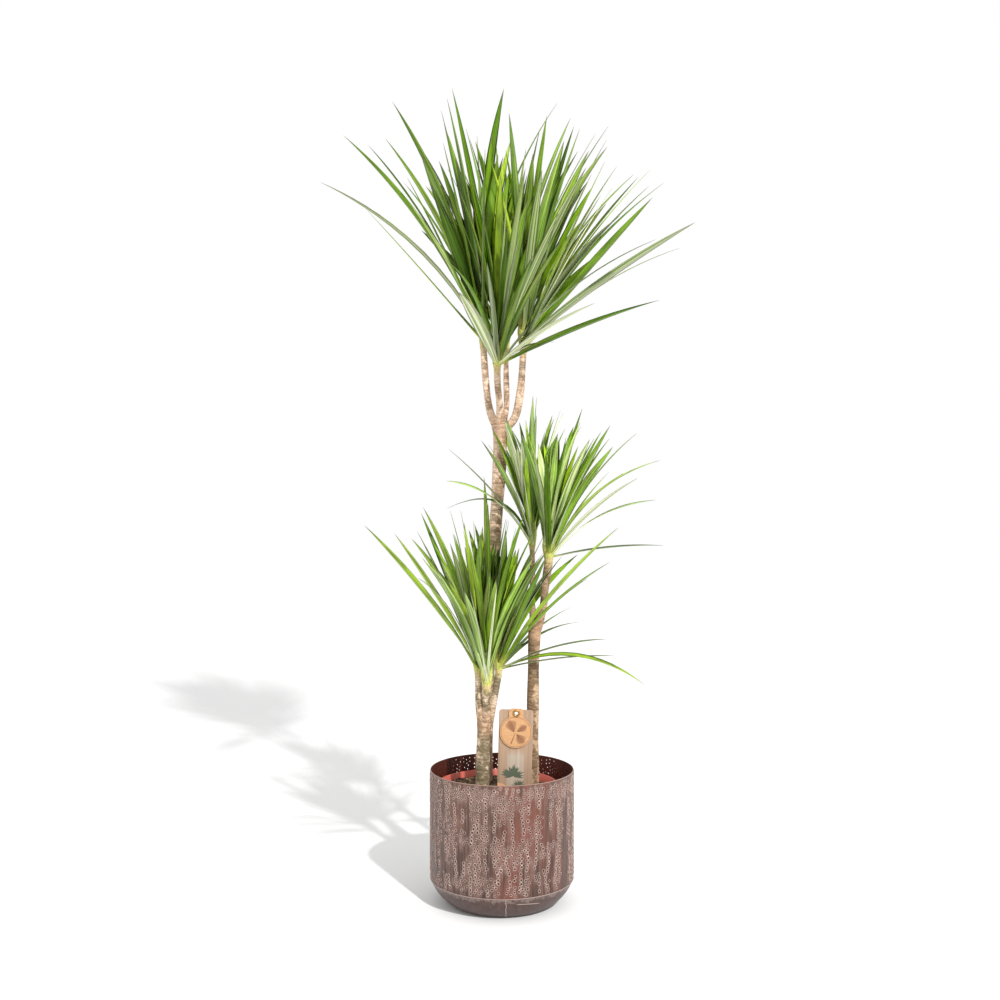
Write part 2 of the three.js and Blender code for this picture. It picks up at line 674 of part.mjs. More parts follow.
// A flat card with rounded top corners and a stake end in the soil.
function labelCard() {
  const { width, height } = LABEL;
  const half = width / 2;
  const { corner, pointIn, pointHeight } = CARD;
  const shape = new THREE.Shape();
  shape.moveTo(-half + pointIn, 0);
  shape.lineTo(half - pointIn, 0);
  shape.lineTo(half, pointHeight);
  shape.lineTo(half, height - corner);
  shape.absarc(half - corner, height - corner, corner, 0, Math.PI / 2);
  shape.lineTo(-half + corner, height);
  shape.absarc(-half + corner, height - corner, corner, Math.PI / 2, Math.PI);
  shape.lineTo(-half, pointHeight);
  shape.closePath();
  shape.holes.push(eyeletHole());
  return slab(shape, LABEL.y, LABEL.thick, 5);
}

function eyeletHole() {
  const hole = new THREE.Path();
  hole.absarc(0, LABEL.height - EYELET.drop, EYELET.tube + GAP, 0, Math.PI * 2);
  return hole;
}

// The round wooden charm in front of the card, with a tab that the eyelet holds.
function labelDisc() {
  const { radius, thick, drop, tabWidth, tabCorner, sides } = DISC;
  const centre = LABEL.height - drop;
  const tab = tabWidth / 2;
  const tabTop = LABEL.height - EYELET.drop + 2;
  const meet = Math.acos(tab / radius);
  const shape = new THREE.Shape();
  shape.absarc(0, centre, radius, Math.PI - meet, 2 * Math.PI + meet);
  shape.lineTo(tab, tabTop);
  shape.absarc(tab - tabCorner, tabTop, tabCorner, 0, Math.PI / 2);
  shape.lineTo(-tab + tabCorner, tabTop + tabCorner);
  shape.absarc(-tab + tabCorner, tabTop, tabCorner, Math.PI / 2, Math.PI);
  shape.closePath();
  shape.holes.push(eyeletHole());
  return slab(shape, LABEL.y - LABEL.thick - GAP, thick, sides / 4);
}

// The brass eyelet: a tube through charm and card, rolled over at both ends.
function labelEyelet() {
  const { hole, tube, flange, lip, sides } = EYELET;
  const front = DISC.thick + LABEL.thick + 2 * GAP;
  const eyelet = turned([
    [hole, -GAP - lip],
    [flange - 1, -GAP - lip],
    [flange - 1, -GAP],
    [tube, -GAP],
    [tube, front],
    [flange, front],
    [flange, front + lip / 2],
    [flange - 1, front + lip],
    [hole, front + lip],
  ], sides);
  return eyelet.rotate([90, 0, 0]).translate([0, LABEL.y, LABEL.height - EYELET.drop]);
}

function standLabel(solid) {
  return solid.rotate([0, LABEL.lean, 0]).translate([LABEL.x, 0, LABEL.bottom]);
}

// ---------------------------------------------------------------- the whole plant

const label = {
  card: standLabel(labelCard()),
  disc: standLabel(labelDisc()),
  eyelet: standLabel(labelEyelet()),
};

const canes = Object.fromEntries(Object.entries(CANES).map(([name, plan]) => [name, cane(plan)]));

// The canes' cut feet are level, well down in the soil.
const caneFoot = SOIL.top - SOIL.socketDepth;
for (const name of Object.keys(canes)) {
  canes[name] = canes[name].trimByPlane([0, 0, 1], caneFoot);
}

let soil = soilBody();
for (const { trunk } of Object.values(CANES)) {
  const socket = rod(trunk, TRUNK.sides, TRUNK.steps, SOIL.socketGap);
  soil = soil.subtract(socket.trimByPlane([0, 0, 1], caneFoot - GAP));
}
const slot = new THREE.BoxGeometry(LABEL.width + 2, LABEL.thick + 1, LABEL.height);
slot.translate(0, LABEL.y - LABEL.thick / 2, LABEL.height / 2 - 1);
soil = soil.subtract(standLabel(solidOf(slot)));

growHeads([...Object.values(canes), label.card, label.disc, label.eyelet]);

const plant = new THREE.Group();
plant.add(piece("planter_wall", planterWall(), "metal"));
plant.add(piece("planter_base", planterBase(), "pan"));
plant.add(piece("nursery_pot", growerPot(), "terracotta"));
plant.add(piece("soil", soil, "soil"));
for (const [name, solid] of Object.entries(canes)) {
  plant.add(piece(name, solid, "bark"));
}
for (const head of heads) {
  plant.add(piece(`leaves_${head.name}`, filled(head.solid), "leaf"));
}
plant.add(piece("label_card", label.card, "card"));
plant.add(piece("label_disc", label.disc, "wood"));
plant.add(piece("label_eyelet", label.eyelet, "brass"));

export default plant;
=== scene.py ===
# %% [markdown]
# # A potted dracaena, dressed over its solid model
# The object is a house plant about 1.4 m tall. Three bare canes of different heights stand in a
# terracotta-coloured plastic pot, each cane forks, and every fork ends in a fan of narrow leaves.
# The plastic pot stands in a round planter of punched and weathered sheet metal, and a card with
# a wooden charm is stuck in the soil. This script keeps the places and sizes of the solid model
# and gives every piece the finer form and finish that the eye expects.

# %% Load the solid model
import math
import random

import bmesh
import bpy
import numpy as np
from mathutils import Matrix, Vector, kdtree
from mathutils.geometry import delaunay_2d_cdt


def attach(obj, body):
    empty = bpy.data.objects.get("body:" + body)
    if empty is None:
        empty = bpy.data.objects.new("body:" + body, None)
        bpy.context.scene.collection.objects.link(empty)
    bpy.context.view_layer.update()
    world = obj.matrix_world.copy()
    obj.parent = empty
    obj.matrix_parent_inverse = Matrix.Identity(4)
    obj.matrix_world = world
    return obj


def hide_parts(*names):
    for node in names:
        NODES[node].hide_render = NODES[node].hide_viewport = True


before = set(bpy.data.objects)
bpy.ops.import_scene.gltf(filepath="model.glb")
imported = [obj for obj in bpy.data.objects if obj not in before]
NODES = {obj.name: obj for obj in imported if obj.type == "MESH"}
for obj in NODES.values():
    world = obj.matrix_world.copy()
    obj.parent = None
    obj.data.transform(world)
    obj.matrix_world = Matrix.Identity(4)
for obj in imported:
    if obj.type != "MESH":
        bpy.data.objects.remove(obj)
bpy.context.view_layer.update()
print("nodes:", len(NODES))

# %% [markdown]
# ## Working in millimetres
# A maker measures a pot in millimetres, and Blender works in metres. Every size below is a real
# size in millimetres, and one helper turns finished points into a Blender mesh in metres.

# %% From points to a mesh
MM = 0.001


def mesh_of(name, points, faces):
    """A Blender mesh from points in millimetres."""
    mesh = bpy.data.meshes.new(name)
    mesh.from_pydata((np.asarray(points, dtype=float) * MM).tolist(), [], faces)
    return mesh


def linked(name, data):
    """A new object in the scene."""
    thing = bpy.data.objects.new(name, data)
    bpy.context.scene.collection.objects.link(thing)
    return thing


# %% [markdown]
# ## Materials from nodes
# A finish is built from a few kinds of node: noise for natural variation, a ramp to turn a value
# into a colour, and a mix to lay one colour over another. The small helpers here make and join
# those nodes, so that each material below reads as a short recipe.


# %% Recipe helpers
def srgb(r, g, b):
    """A colour given as on a screen, 0 to 255, as Blender's linear colour."""
    linear = []
    for channel in (r, g, b):
        c = channel / 255
        linear.append(c / 12.92 if c <= 0.04045 else ((c + 0.055) / 1.055) ** 2.4)
    return (*linear, 1.0)


class Recipe:
    """A material under construction."""

    def __init__(self, name):
        self.material = bpy.data.materials.new(name)
        self.material.use_nodes = True
        self.tree = self.material.node_tree
        self.shader = self.tree.nodes["Principled BSDF"]

    def node(self, kind, inputs=(), **settings):
        made = self.tree.nodes.new(kind)
        for key, value in settings.items():
            setattr(made, key, value)
        for key, value in dict(inputs).items():
            self.feed(made.inputs[key], value)
        return made

    def feed(self, socket, value):
        if isinstance(value, bpy.types.NodeSocket):
            self.tree.links.new(value, socket)
        else:
            socket.default_value = value

    def math(self, operation, a, b=0.0, c=0.0, clamp=False):
        made = self.node("ShaderNodeMath", {0: a, 1: b, 2: c}, operation=operation)
        made.use_clamp = clamp
        return made.outputs[0]

    def times(self, a, b, clamp=False):
        return self.math("MULTIPLY", a, b, clamp=clamp)

    def plus(self, a, b, clamp=False):
        return self.math("ADD", a, b, clamp=clamp)

    def scaled(self, value, by, offset):
        return self.math("MULTIPLY_ADD", value, by, offset)

    def less(self, value):
        """What is left of 1 when this value is taken from it."""
        return self.math("SUBTRACT", 1.0, value)

    def step(self, value, low, high):
        """0 below low, 1 above high, and a smooth rise between them."""
        made = self.node("ShaderNodeMapRange", {0: value, 1: low, 2: high})
        made.interpolation_type = "SMOOTHSTEP"
        return made.outputs[0]

    def noise(self, vector, scale, detail=3.0, roughness=0.55, distortion=0.0):
        made = self.node(
            "ShaderNodeTexNoise",
            {"Vector": vector, "Scale": scale, "Detail": detail, "Roughness": roughness},
        )
        made.inputs["Distortion"].default_value = distortion
        return made.outputs["Fac"]

    def stretched(self, vector, x, y, z):
        made = self.node("ShaderNodeVectorMath", {0: vector, 1: (x, y, z)})
        made.operation = "MULTIPLY"
        return made.outputs[0]

    def mix(self, factor, a, b, blend="MIX"):
        made = self.node("ShaderNodeMix", data_type="RGBA", blend_type=blend)
        self.feed(made.inputs["Factor"], factor)
        self.feed(made.inputs["A"], a)
        self.feed(made.inputs["B"], b)
        return made.outputs["Result"]

    def over(self, colour, coat, share, most):
        """The colour under a coat that covers it where the share is high, at most this much."""
        return self.mix(self.times(share, most), colour, coat)

    def ramp(self, value, stops):
        made = self.node("ShaderNodeValToRGB", {"Fac": value})
        elements = made.color_ramp.elements
        while len(elements) < len(stops):
            elements.new(0.5)
        for element, (place, colour) in zip(elements, stops):
            element.position = place
            element.color = colour
        return made.outputs["Color"]

    def place(self):
        """Object coordinates in metres: the same in every view."""
        return self.node("ShaderNodeTexCoord").outputs["Object"]

    def parts(self, vector):
        return self.node("ShaderNodeSeparateXYZ", {0: vector}).outputs

    def stored(self, name):
        """The three values that the mesh stores under this name."""
        made = self.node("ShaderNodeAttribute")
        made.attribute_name = name
        return self.parts(made.outputs["Vector"])

    def finish(self, colour, roughness, metallic=0.0, height=None, depth=0.0002, gloss=None):
        self.feed(self.shader.inputs["Base Color"], colour)
        self.feed(self.shader.inputs["Roughness"], roughness)
        self.feed(self.shader.inputs["Metallic"], metallic)
        if height is not None:
            bump = self.node("ShaderNodeBump", {"Height": height, "Distance": depth})
            self.feed(self.shader.inputs["Normal"], bump.outputs[0])
        if gloss is not None:
            self.shader.inputs["Specular IOR Level"].default_value = gloss
        return self.material


# %% [markdown]
# ## The camera first
# The canes and leaves are described by where they show in the reference view, so the camera is
# settled before them. It stands 2.17 m in front of the planter's axis at 0.74 m above the floor,
# tipped down by one degree, with a lens of 44.75 mm on a 36 mm sensor.

# %% Camera and sight lines
EYE = {"x": -3.4, "y": -2165.0, "z": 739.0, "pitch": math.radians(1), "focal": 1243.0}
MIDDLE = 500
SENSOR = 36.0
FRAME_PIXELS = 1000

lens = bpy.data.cameras.new("camera")
lens.sensor_width = SENSOR
lens.lens = EYE["focal"] / FRAME_PIXELS * SENSOR
camera = linked("camera", lens)
camera.location = (EYE["x"] * MM, EYE["y"] * MM, EYE["z"] * MM)
camera.rotation_euler = (math.pi / 2 - EYE["pitch"], 0, 0)
bpy.context.scene.camera = camera


def placed(picture_x, picture_y, y):
    """The place at depth y on the sight line through a point of the picture."""
    across = (picture_x - MIDDLE) / EYE["focal"]
    up = (MIDDLE - picture_y) / EYE["focal"]
    depth = (y - EYE["y"]) / (math.cos(EYE["pitch"]) + up * math.sin(EYE["pitch"]))
    z = EYE["z"] + depth * (up * math.cos(EYE["pitch"]) - math.sin(EYE["pitch"]))
    return np.array([EYE["x"] + across * depth, y, z])


print("camera lens", round(lens.lens, 2), "mm")

# %% [markdown]
# ## Canes
# A dracaena cane is a bare stem on which every lost leaf has left a thin ring-shaped scar. It
# could be a tube with a bark picture, but the forks would then look like pipes pushed together.
# Here tubes along each stem are fused by a voxel remesh, which rounds the forks as growth does.
# The leaf scars are then pressed into the fused skin by a formula of height and angle, and the
# same value is stored on the mesh so that the bark's colour follows the relief.

# %% Cane paths
CANES = {
    "tall_cane": [
        [
            (485, 845, 36, 12.5), (486, 740, 34, 12.5), (489, 640, 30, 12.2), (493, 560, 26, 11.8),
            (497, 505, 23, 11.2), (499.5, 463, 21, 12), (500.5, 424, 20, 13.5),
        ],
        [(498, 430, 20, 7.5), (490, 411, 18, 6.4), (486.2, 385, 16, 6), (483.3, 347, 14, 5.8)],
        [(500, 430, 18, 7), (499.6, 404, 8, 6), (497.6, 385, 1, 5.6), (497.2, 370, -4, 5.6)],
        [(502, 430, 24, 6), (506.3, 408, 34, 5), (506.2, 380, 42, 4.9), (506, 352, 46, 4.8)],
        [(503, 431, 21, 8), (515, 417, 21, 7), (520.5, 390, 20, 6.4), (523.3, 352, 18, 6.3)],
    ],
    "mid_cane": [
        [(534, 838, -4, 10.5), (532.8, 740, -5, 10.4), (533.6, 660, -6, 10.2), (535, 622, -7, 11.5)],
        [(534, 628, -4, 7), (532.2, 602, 6, 5), (532.6, 575, 12, 4.6), (532.2, 550, 15, 4.5)],
        [(537, 629, -9, 8.5), (543.2, 607, -16, 7), (545, 588, -22, 6.7), (548.6, 562, -26, 7.4)],
    ],
    "short_cane": [
        [(482.3, 838, -40, 12.2), (482.6, 770, -40, 12), (483.8, 735, -41, 12), (485, 717, -42, 13.5)],
        [(482, 722, -42, 8), (479.2, 704, -44, 6.4), (478.5, 688, -45, 6), (478.2, 674, -46, 6.2)],
        [(486, 722, -44, 8), (486.8, 708, -52, 6.6), (487, 698, -57, 6.4), (487, 689, -60, 6.8)],
        [(489, 722, -40, 8), (493.6, 702, -34, 6.2), (496.4, 686, -31, 5.8), (498.6, 673, -30, 5.8)],
    ],
}


def ends_on(knots, length):
    """One more point, this far straight on from the last."""
    if not length:
        return []
    ahead = knots[-1, :3] - knots[-2, :3]
    return [np.append(knots[-1, :3] + ahead / np.linalg.norm(ahead) * length, knots[-1, 3])]


def curve_through(path, spacing, reach_on=0.0):
    """Points and radii every few millimetres on a smooth curve through a cane's path."""
    knots = np.array([[*placed(x, y, depth), radius] for x, y, depth, radius in path])
    before = 2 * knots[0] - knots[1]
    after = 2 * knots[-1] - knots[-2]
    padded = np.vstack([before, knots, after])
    samples = []
    for i in range(len(knots) - 1):
        a, b, c, d = padded[i : i + 4]
        count = max(2, int(np.linalg.norm(c[:3] - b[:3]) / spacing))
        for t in np.arange(count) / count:
            bent = 2 * b + (c - a) * t + (2 * a - 5 * b + 4 * c - d) * t**2
            samples.append(0.5 * (bent + (3 * b - a - 3 * c + d) * t**3))
    samples.append(knots[-1])
    samples = np.array(samples + ends_on(knots, reach_on))
    points, radii = samples[:, :3], np.clip(samples[:, 3], 1, None)
    steps = np.linalg.norm(np.diff(points, axis=0), axis=1)
    return points, radii, np.concatenate([[0], np.cumsum(steps)])


def unit(v):
    return v / np.linalg.norm(v, axis=-1, keepdims=True)


def frames_along(points):
    """For each point of a curve: its direction, a steady side direction and a third across both."""
    along = unit(np.gradient(points, axis=0))
    side = np.array([1.0, 0, 0]) - along * along[:, :1]
    side = unit(side)
    return along, side, np.cross(along, side)


def turns(count, offset=0.0):
    """Angles in equal steps once round."""
    return [(k + offset) / count * 2 * math.pi for k in range(count)]


def tube(points, radii, sides):
    """A closed tube: rings of points joined by four-sided faces, with a cap at each end."""
    _, side, back = frames_along(points)
    angles = np.array(turns(sides))
    ring = np.cos(angles)[None, :, None] * side[:, None] + np.sin(angles)[None, :, None] * back[:, None]
    skin = (points[:, None] + ring * radii[:, None, None]).reshape(-1, 3)
    faces = []
    for i in range(len(points) - 1):
        for k in range(sides):
            a, b = i * sides + k, i * sides + (k + 1) % sides
            faces.append((a, b, b + sides, a + sides))
    faces.append(tuple(range(sides))[::-1])
    last = (len(points) - 1) * sides
    faces.append(tuple(range(last, last + sides)))
    return skin, faces


# %% [markdown]
# The voxel remesh is a modifier. Its result is read back as a plain mesh, so that the scars can
# be pressed in afterwards by moving the vertices themselves.


# %% Fusing the stems
VOXEL = 1.25
SOFTENING = 4


def applied(piece):
    """The mesh that a piece has once its modifiers have done their work."""
    view = piece.evaluated_get(bpy.context.evaluated_depsgraph_get())
    return bpy.data.meshes.new_from_object(view)


def fused(name, tubes):
    points, faces = [], []
    for skin, quads in tubes:
        start = len(points)
        points.extend(skin)
        faces.extend(tuple(i + start for i in quad) for quad in quads)
    mesh = mesh_of(name, points, faces)
    work = linked(name + "_work", mesh)
    remesh = work.modifiers.new("fuse", "REMESH")
    remesh.mode = "VOXEL"
    remesh.voxel_size = VOXEL * MM
    soften = work.modifiers.new("soften", "SMOOTH")
    soften.factor = 0.5
    soften.iterations = SOFTENING
    skin = applied(work)
    bpy.data.objects.remove(work)
    bpy.data.meshes.remove(mesh)
    return skin


def positions(mesh):
    flat = np.empty(len(mesh.vertices) * 3)
    mesh.vertices.foreach_get("co", flat)
    return flat.reshape(-1, 3)


# %% [markdown]
# Each leaf scar is a shallow wavy line part of the way round the stem with a small lip under it.
# On the young branches they follow each other every few millimetres. On the old trunks they are
# further apart.

# %% Leaf scars
SCAR_WIDTH = 0.9
SCAR_TILT, SCAR_HALF, SCAR_SPREAD = (0.5, 2.2), (1.4, 3.4), (0.5, 1.3)
TRUNK_SCARS = {"gap": (4.0, 15.0), "depth": 0.4}
BRANCH_SCARS = {"gap": (2.6, 6.0), "depth": 0.22}


def scars_on(length, kind, rng):
    """Each scar: height, tilt, phase, middle and half-width of its arc, and depth."""
    scars = []
    height = rng.uniform(0, 3)
    while height < length:
        tilt = rng.uniform(*SCAR_TILT)
        phase, middle = rng.uniform(0, 2 * math.pi), rng.uniform(0, 2 * math.pi)
        half = rng.uniform(*SCAR_HALF)
        scars.append((height, tilt, phase, middle, half, kind["depth"] * rng.uniform(*SCAR_SPREAD)))
        height += rng.uniform(*kind["gap"])
    return scars


def scar_relief(height, angle, scars):
    """How deep the scars press in here, and their colour: 1 in the groove, -1 on the lip."""
    press = np.zeros_like(height)
    groove_mark, lip_mark = np.zeros_like(height), np.zeros_like(height)
    for at, tilt, phase, middle, half, depth in scars:
        line = at + tilt * np.sin(angle + phase) + 0.35 * tilt * np.sin(3 * angle + 2 * phase)
        off = height - line
        close = np.abs(off) < 5
        if not close.any():
            continue
        turn = np.abs((angle - middle + math.pi) % (2 * math.pi) - math.pi)
        there = np.clip((half - turn) / 0.5, 0, 1) * close
        groove = np.exp(-((off / SCAR_WIDTH) ** 2)) * there
        lip = np.exp(-(((off + 1.9) / 1.2) ** 2)) * there
        press += depth * (groove - 0.55 * lip)
        groove_mark, lip_mark = np.maximum(groove_mark, groove), np.maximum(lip_mark, lip)
    return press, groove_mark - lip_mark * (1 - groove_mark)


# %% [markdown]
# The bark's colour starts from a pinkish beige. Brown lies in the scars and their lips are pale.
# One side of each old trunk is olive-brown with ragged edges, crossed by pale wrinkles. Which side
# that is differs from cane to cane, so it is stored with the skin.
# Round each fork the bark is orange-brown and speckled.


# %% Bark material
def bark_material(name, light, mid, dark, olive_colour):
    bark = Recipe(name)
    where = bark.place()
    scar, fork, olive_share = bark.stored("bark")
    top, _, _ = bark.stored("bark_top")
    grain = bark.noise(bark.stretched(where, 1, 1, 1.7), 160, 6, 0.65)
    speckle = bark.noise(bark.stretched(where, 1, 1, 1.5), 560, 3, 0.6)
    ragged = bark.noise(bark.stretched(where, 1, 1, 0.7), 58, 6, 0.62, 0.6)
    wrinkle = bark.noise(bark.stretched(where, 1, 1, 3.0), 110, 3, 0.6, 0.5)
    colour = bark.ramp(grain, [(0.36, mid), (0.52, light), (0.78, light)])
    dots = bark.step(speckle, 0.54, 0.68)
    colour = bark.over(colour, dark, dots, 0.4)
    reach = bark.scaled(olive_share, 0.32, -0.46)
    olive_patch = bark.step(bark.scaled(ragged, 1.6, reach), 0.42, 0.58)
    colour = bark.over(colour, olive_colour, olive_patch, 0.82)
    crossing = bark.times(bark.step(wrinkle, 0.54, 0.66), olive_patch)
    colour = bark.over(colour, light, crossing, 0.4)
    fork_brown = bark.mix(dots, srgb(172, 130, 100), srgb(112, 74, 50))
    colour = bark.over(colour, fork_brown, fork, 0.54)
    groove = bark.times(scar, bark.step(grain, 0.3, 0.58), clamp=True)
    colour = bark.over(colour, dark, groove, 0.75)
    lip = bark.times(scar, -0.22, clamp=True)
    colour = bark.mix(lip, colour, light)
    green = bark.times(top, bark.step(grain, 0.25, 0.6))
    colour = bark.over(colour, srgb(186, 178, 108), green, 0.8)
    height = bark.plus(grain, bark.times(speckle, 0.5))
    return bark.finish(colour, 0.78, height=height, depth=0.0006, gloss=0.25)


BARKS = {
    "tall_cane": bark_material(
        "bark_tall", srgb(228, 201, 176), srgb(190, 155, 128), srgb(112, 76, 57), srgb(142, 112, 84)
    ),
    "mid_cane": bark_material(
        "bark_mid", srgb(190, 162, 132), srgb(146, 115, 86), srgb(92, 66, 46), srgb(100, 78, 54)
    ),
    "short_cane": bark_material(
        "bark_short", srgb(212, 190, 164), srgb(168, 143, 112), srgb(96, 72, 48), srgb(82, 72, 42)
    ),
}


# %% [markdown]
# Every vertex of the fused skin goes to its nearest stem, which tells how far up that stem it is
# and on which side. The scars, a slow swell and the olive side follow from those two. World height
# would do for an upright trunk, but only this keeps the rings square to a leaning branch.

# %% Growing the canes
def dress(name, mesh, material, replaces=(), smooth=True):
    """Gives a finished mesh its object, its material and its place in the plant."""
    mesh.polygons.foreach_set("use_smooth", [smooth] * len(mesh.polygons))
    mesh.materials.clear()
    mesh.materials.append(material)
    piece = linked(name, mesh)
    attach(piece, "root")
    if replaces:
        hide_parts(*replaces)
    print(name, len(mesh.polygons), "faces")
    return piece


def store(mesh, name, values, place="POINT"):
    """Stores one vector per vertex, or per face corner, for the material to read."""
    layer = mesh.attributes.new(name, "FLOAT_VECTOR", place)
    layer.data.foreach_set("vector", np.asarray(values, dtype=np.float32).ravel())


STEM_STEP = 2.0
STEM_SIDES = 24
REACH_ON = 3.0  # how far a branch runs on into the shoot on its end
# The olive-brown side of each cane: its direction, its reach, and its share on the branches.
OLIVE_SIDE = {"tall_cane": (1.0, 0.05), "mid_cane": (-0.8, -0.1), "short_cane": (0.35, -0.9)}
OLIVE_REACH = {"tall_cane": 0.46, "mid_cane": 0.64, "short_cane": 0.52}
BRANCH_OLIVE = 0.55
FORK_SIZE = 13.5
OLD_BREAK = {"tall_cane": (497, 482, 22)}  # where a dark crack runs across the trunk's front
CRACK = {"tilt": 3.0, "phase": 0.6, "half": 1.7, "depth": 1.6}
GREEN_TOP = 14.0  # the end of a branch turns green over this length


def grow_cane(name, paths, rng):
    stems = [curve_through(path, STEM_STEP, REACH_ON if i else 0.0) for i, path in enumerate(paths)]
    skin = fused(name, [tube(points, radii, STEM_SIDES) for points, radii, _ in stems])
    place = positions(skin) / MM
    total = sum(len(points) for points, _, _ in stems)
    nearest = kdtree.KDTree(total)
    owner, index = [], []
    for number, (points, _, _) in enumerate(stems):
        for i, point in enumerate(points):
            nearest.insert(point, len(owner))
            owner.append(number)
            index.append(i)
    nearest.balance()
    found = np.array([nearest.find(p)[1] for p in place])
    owner, index = np.array(owner)[found], np.array(index)[found]
    moved = place.copy()
    bark, top = np.zeros((len(place), 3)), np.zeros((len(place), 3))
    fork = np.mean([points[0] for points, _, _ in stems[1:]], axis=0)
    from_fork = np.linalg.norm(place - fork, axis=1)
    near_fork = np.exp(-((np.maximum(from_fork - FORK_SIZE, 0) / FORK_SIZE) ** 2))
    for number, (points, radii, heights) in enumerate(stems):
        mine = np.flatnonzero(owner == number)
        if not len(mine):
            continue
        i = index[mine]
        along, side, back = frames_along(points)
        off = place[mine] - points[i]
        height = heights[i] + (off * along[i]).sum(1)
        angle = np.arctan2((off * back[i]).sum(1), (off * side[i]).sum(1))
        kind = BRANCH_SCARS if number else TRUNK_SCARS
        scars = scars_on(heights[-1], kind, rng)
        if number == 0 and name in OLD_BREAK:
            x, y, depth = OLD_BREAK[name]
            at = heights[np.linalg.norm(points - placed(x, y, depth), axis=1).argmin()]
            facing = np.arctan2(-back[0][1], -side[0][1])
            scars.append((at, CRACK["tilt"], CRACK["phase"], facing, CRACK["half"], CRACK["depth"]))
        press, marked = scar_relief(height, angle, scars)
        out = unit(off - along[i] * (off * along[i]).sum(1)[:, None])
        swell = 0.35 * np.sin(height / 17 + number) + 0.25 * np.sin(2 * angle + height / 31)
        moved[mine] += out * (swell - press)[:, None]
        bark[mine, 0] = marked
        olive_share = OLIVE_REACH[name] + 0.5 * out[:, :2] @ np.array(OLIVE_SIDE[name])
        if number == 0:
            bark[mine, 2] = olive_share * (1 - (1 - BRANCH_OLIVE) * near_fork[mine])
        else:
            bark[mine, 2] = olive_share * BRANCH_OLIVE
            top[mine, 0] = np.clip(1 + (height - heights[-1]) / GREEN_TOP, 0, 1)
    bark[:, 1] = near_fork
    skin.vertices.foreach_set("co", (moved * MM).ravel())
    store(skin, "bark", bark)
    store(skin, "bark_top", top)
    return dress(name + "_bark", skin, BARKS[name], [name])


for number, (name, paths) in enumerate(CANES.items()):
    grow_cane(name, paths, random.Random(40 + number))

# %% [markdown]
# ## Leaves
# A leaf is a long narrow blade that clasps the shoot with its base, widens over its first third
# and then narrows to a fine point. Its section is a shallow channel. The solid model already
# settles every leaf's root, bend and tip, by a rule that is repeated here: key leaves are given
# by their tips in the reference view, and filling leaves follow the golden angle round the shoot.
# Where a leaf would have crossed a neighbour, the solid model used a later try of the same rule.
# So each try is laid out again, and the one whose tip is found in the solid is the leaf's own.

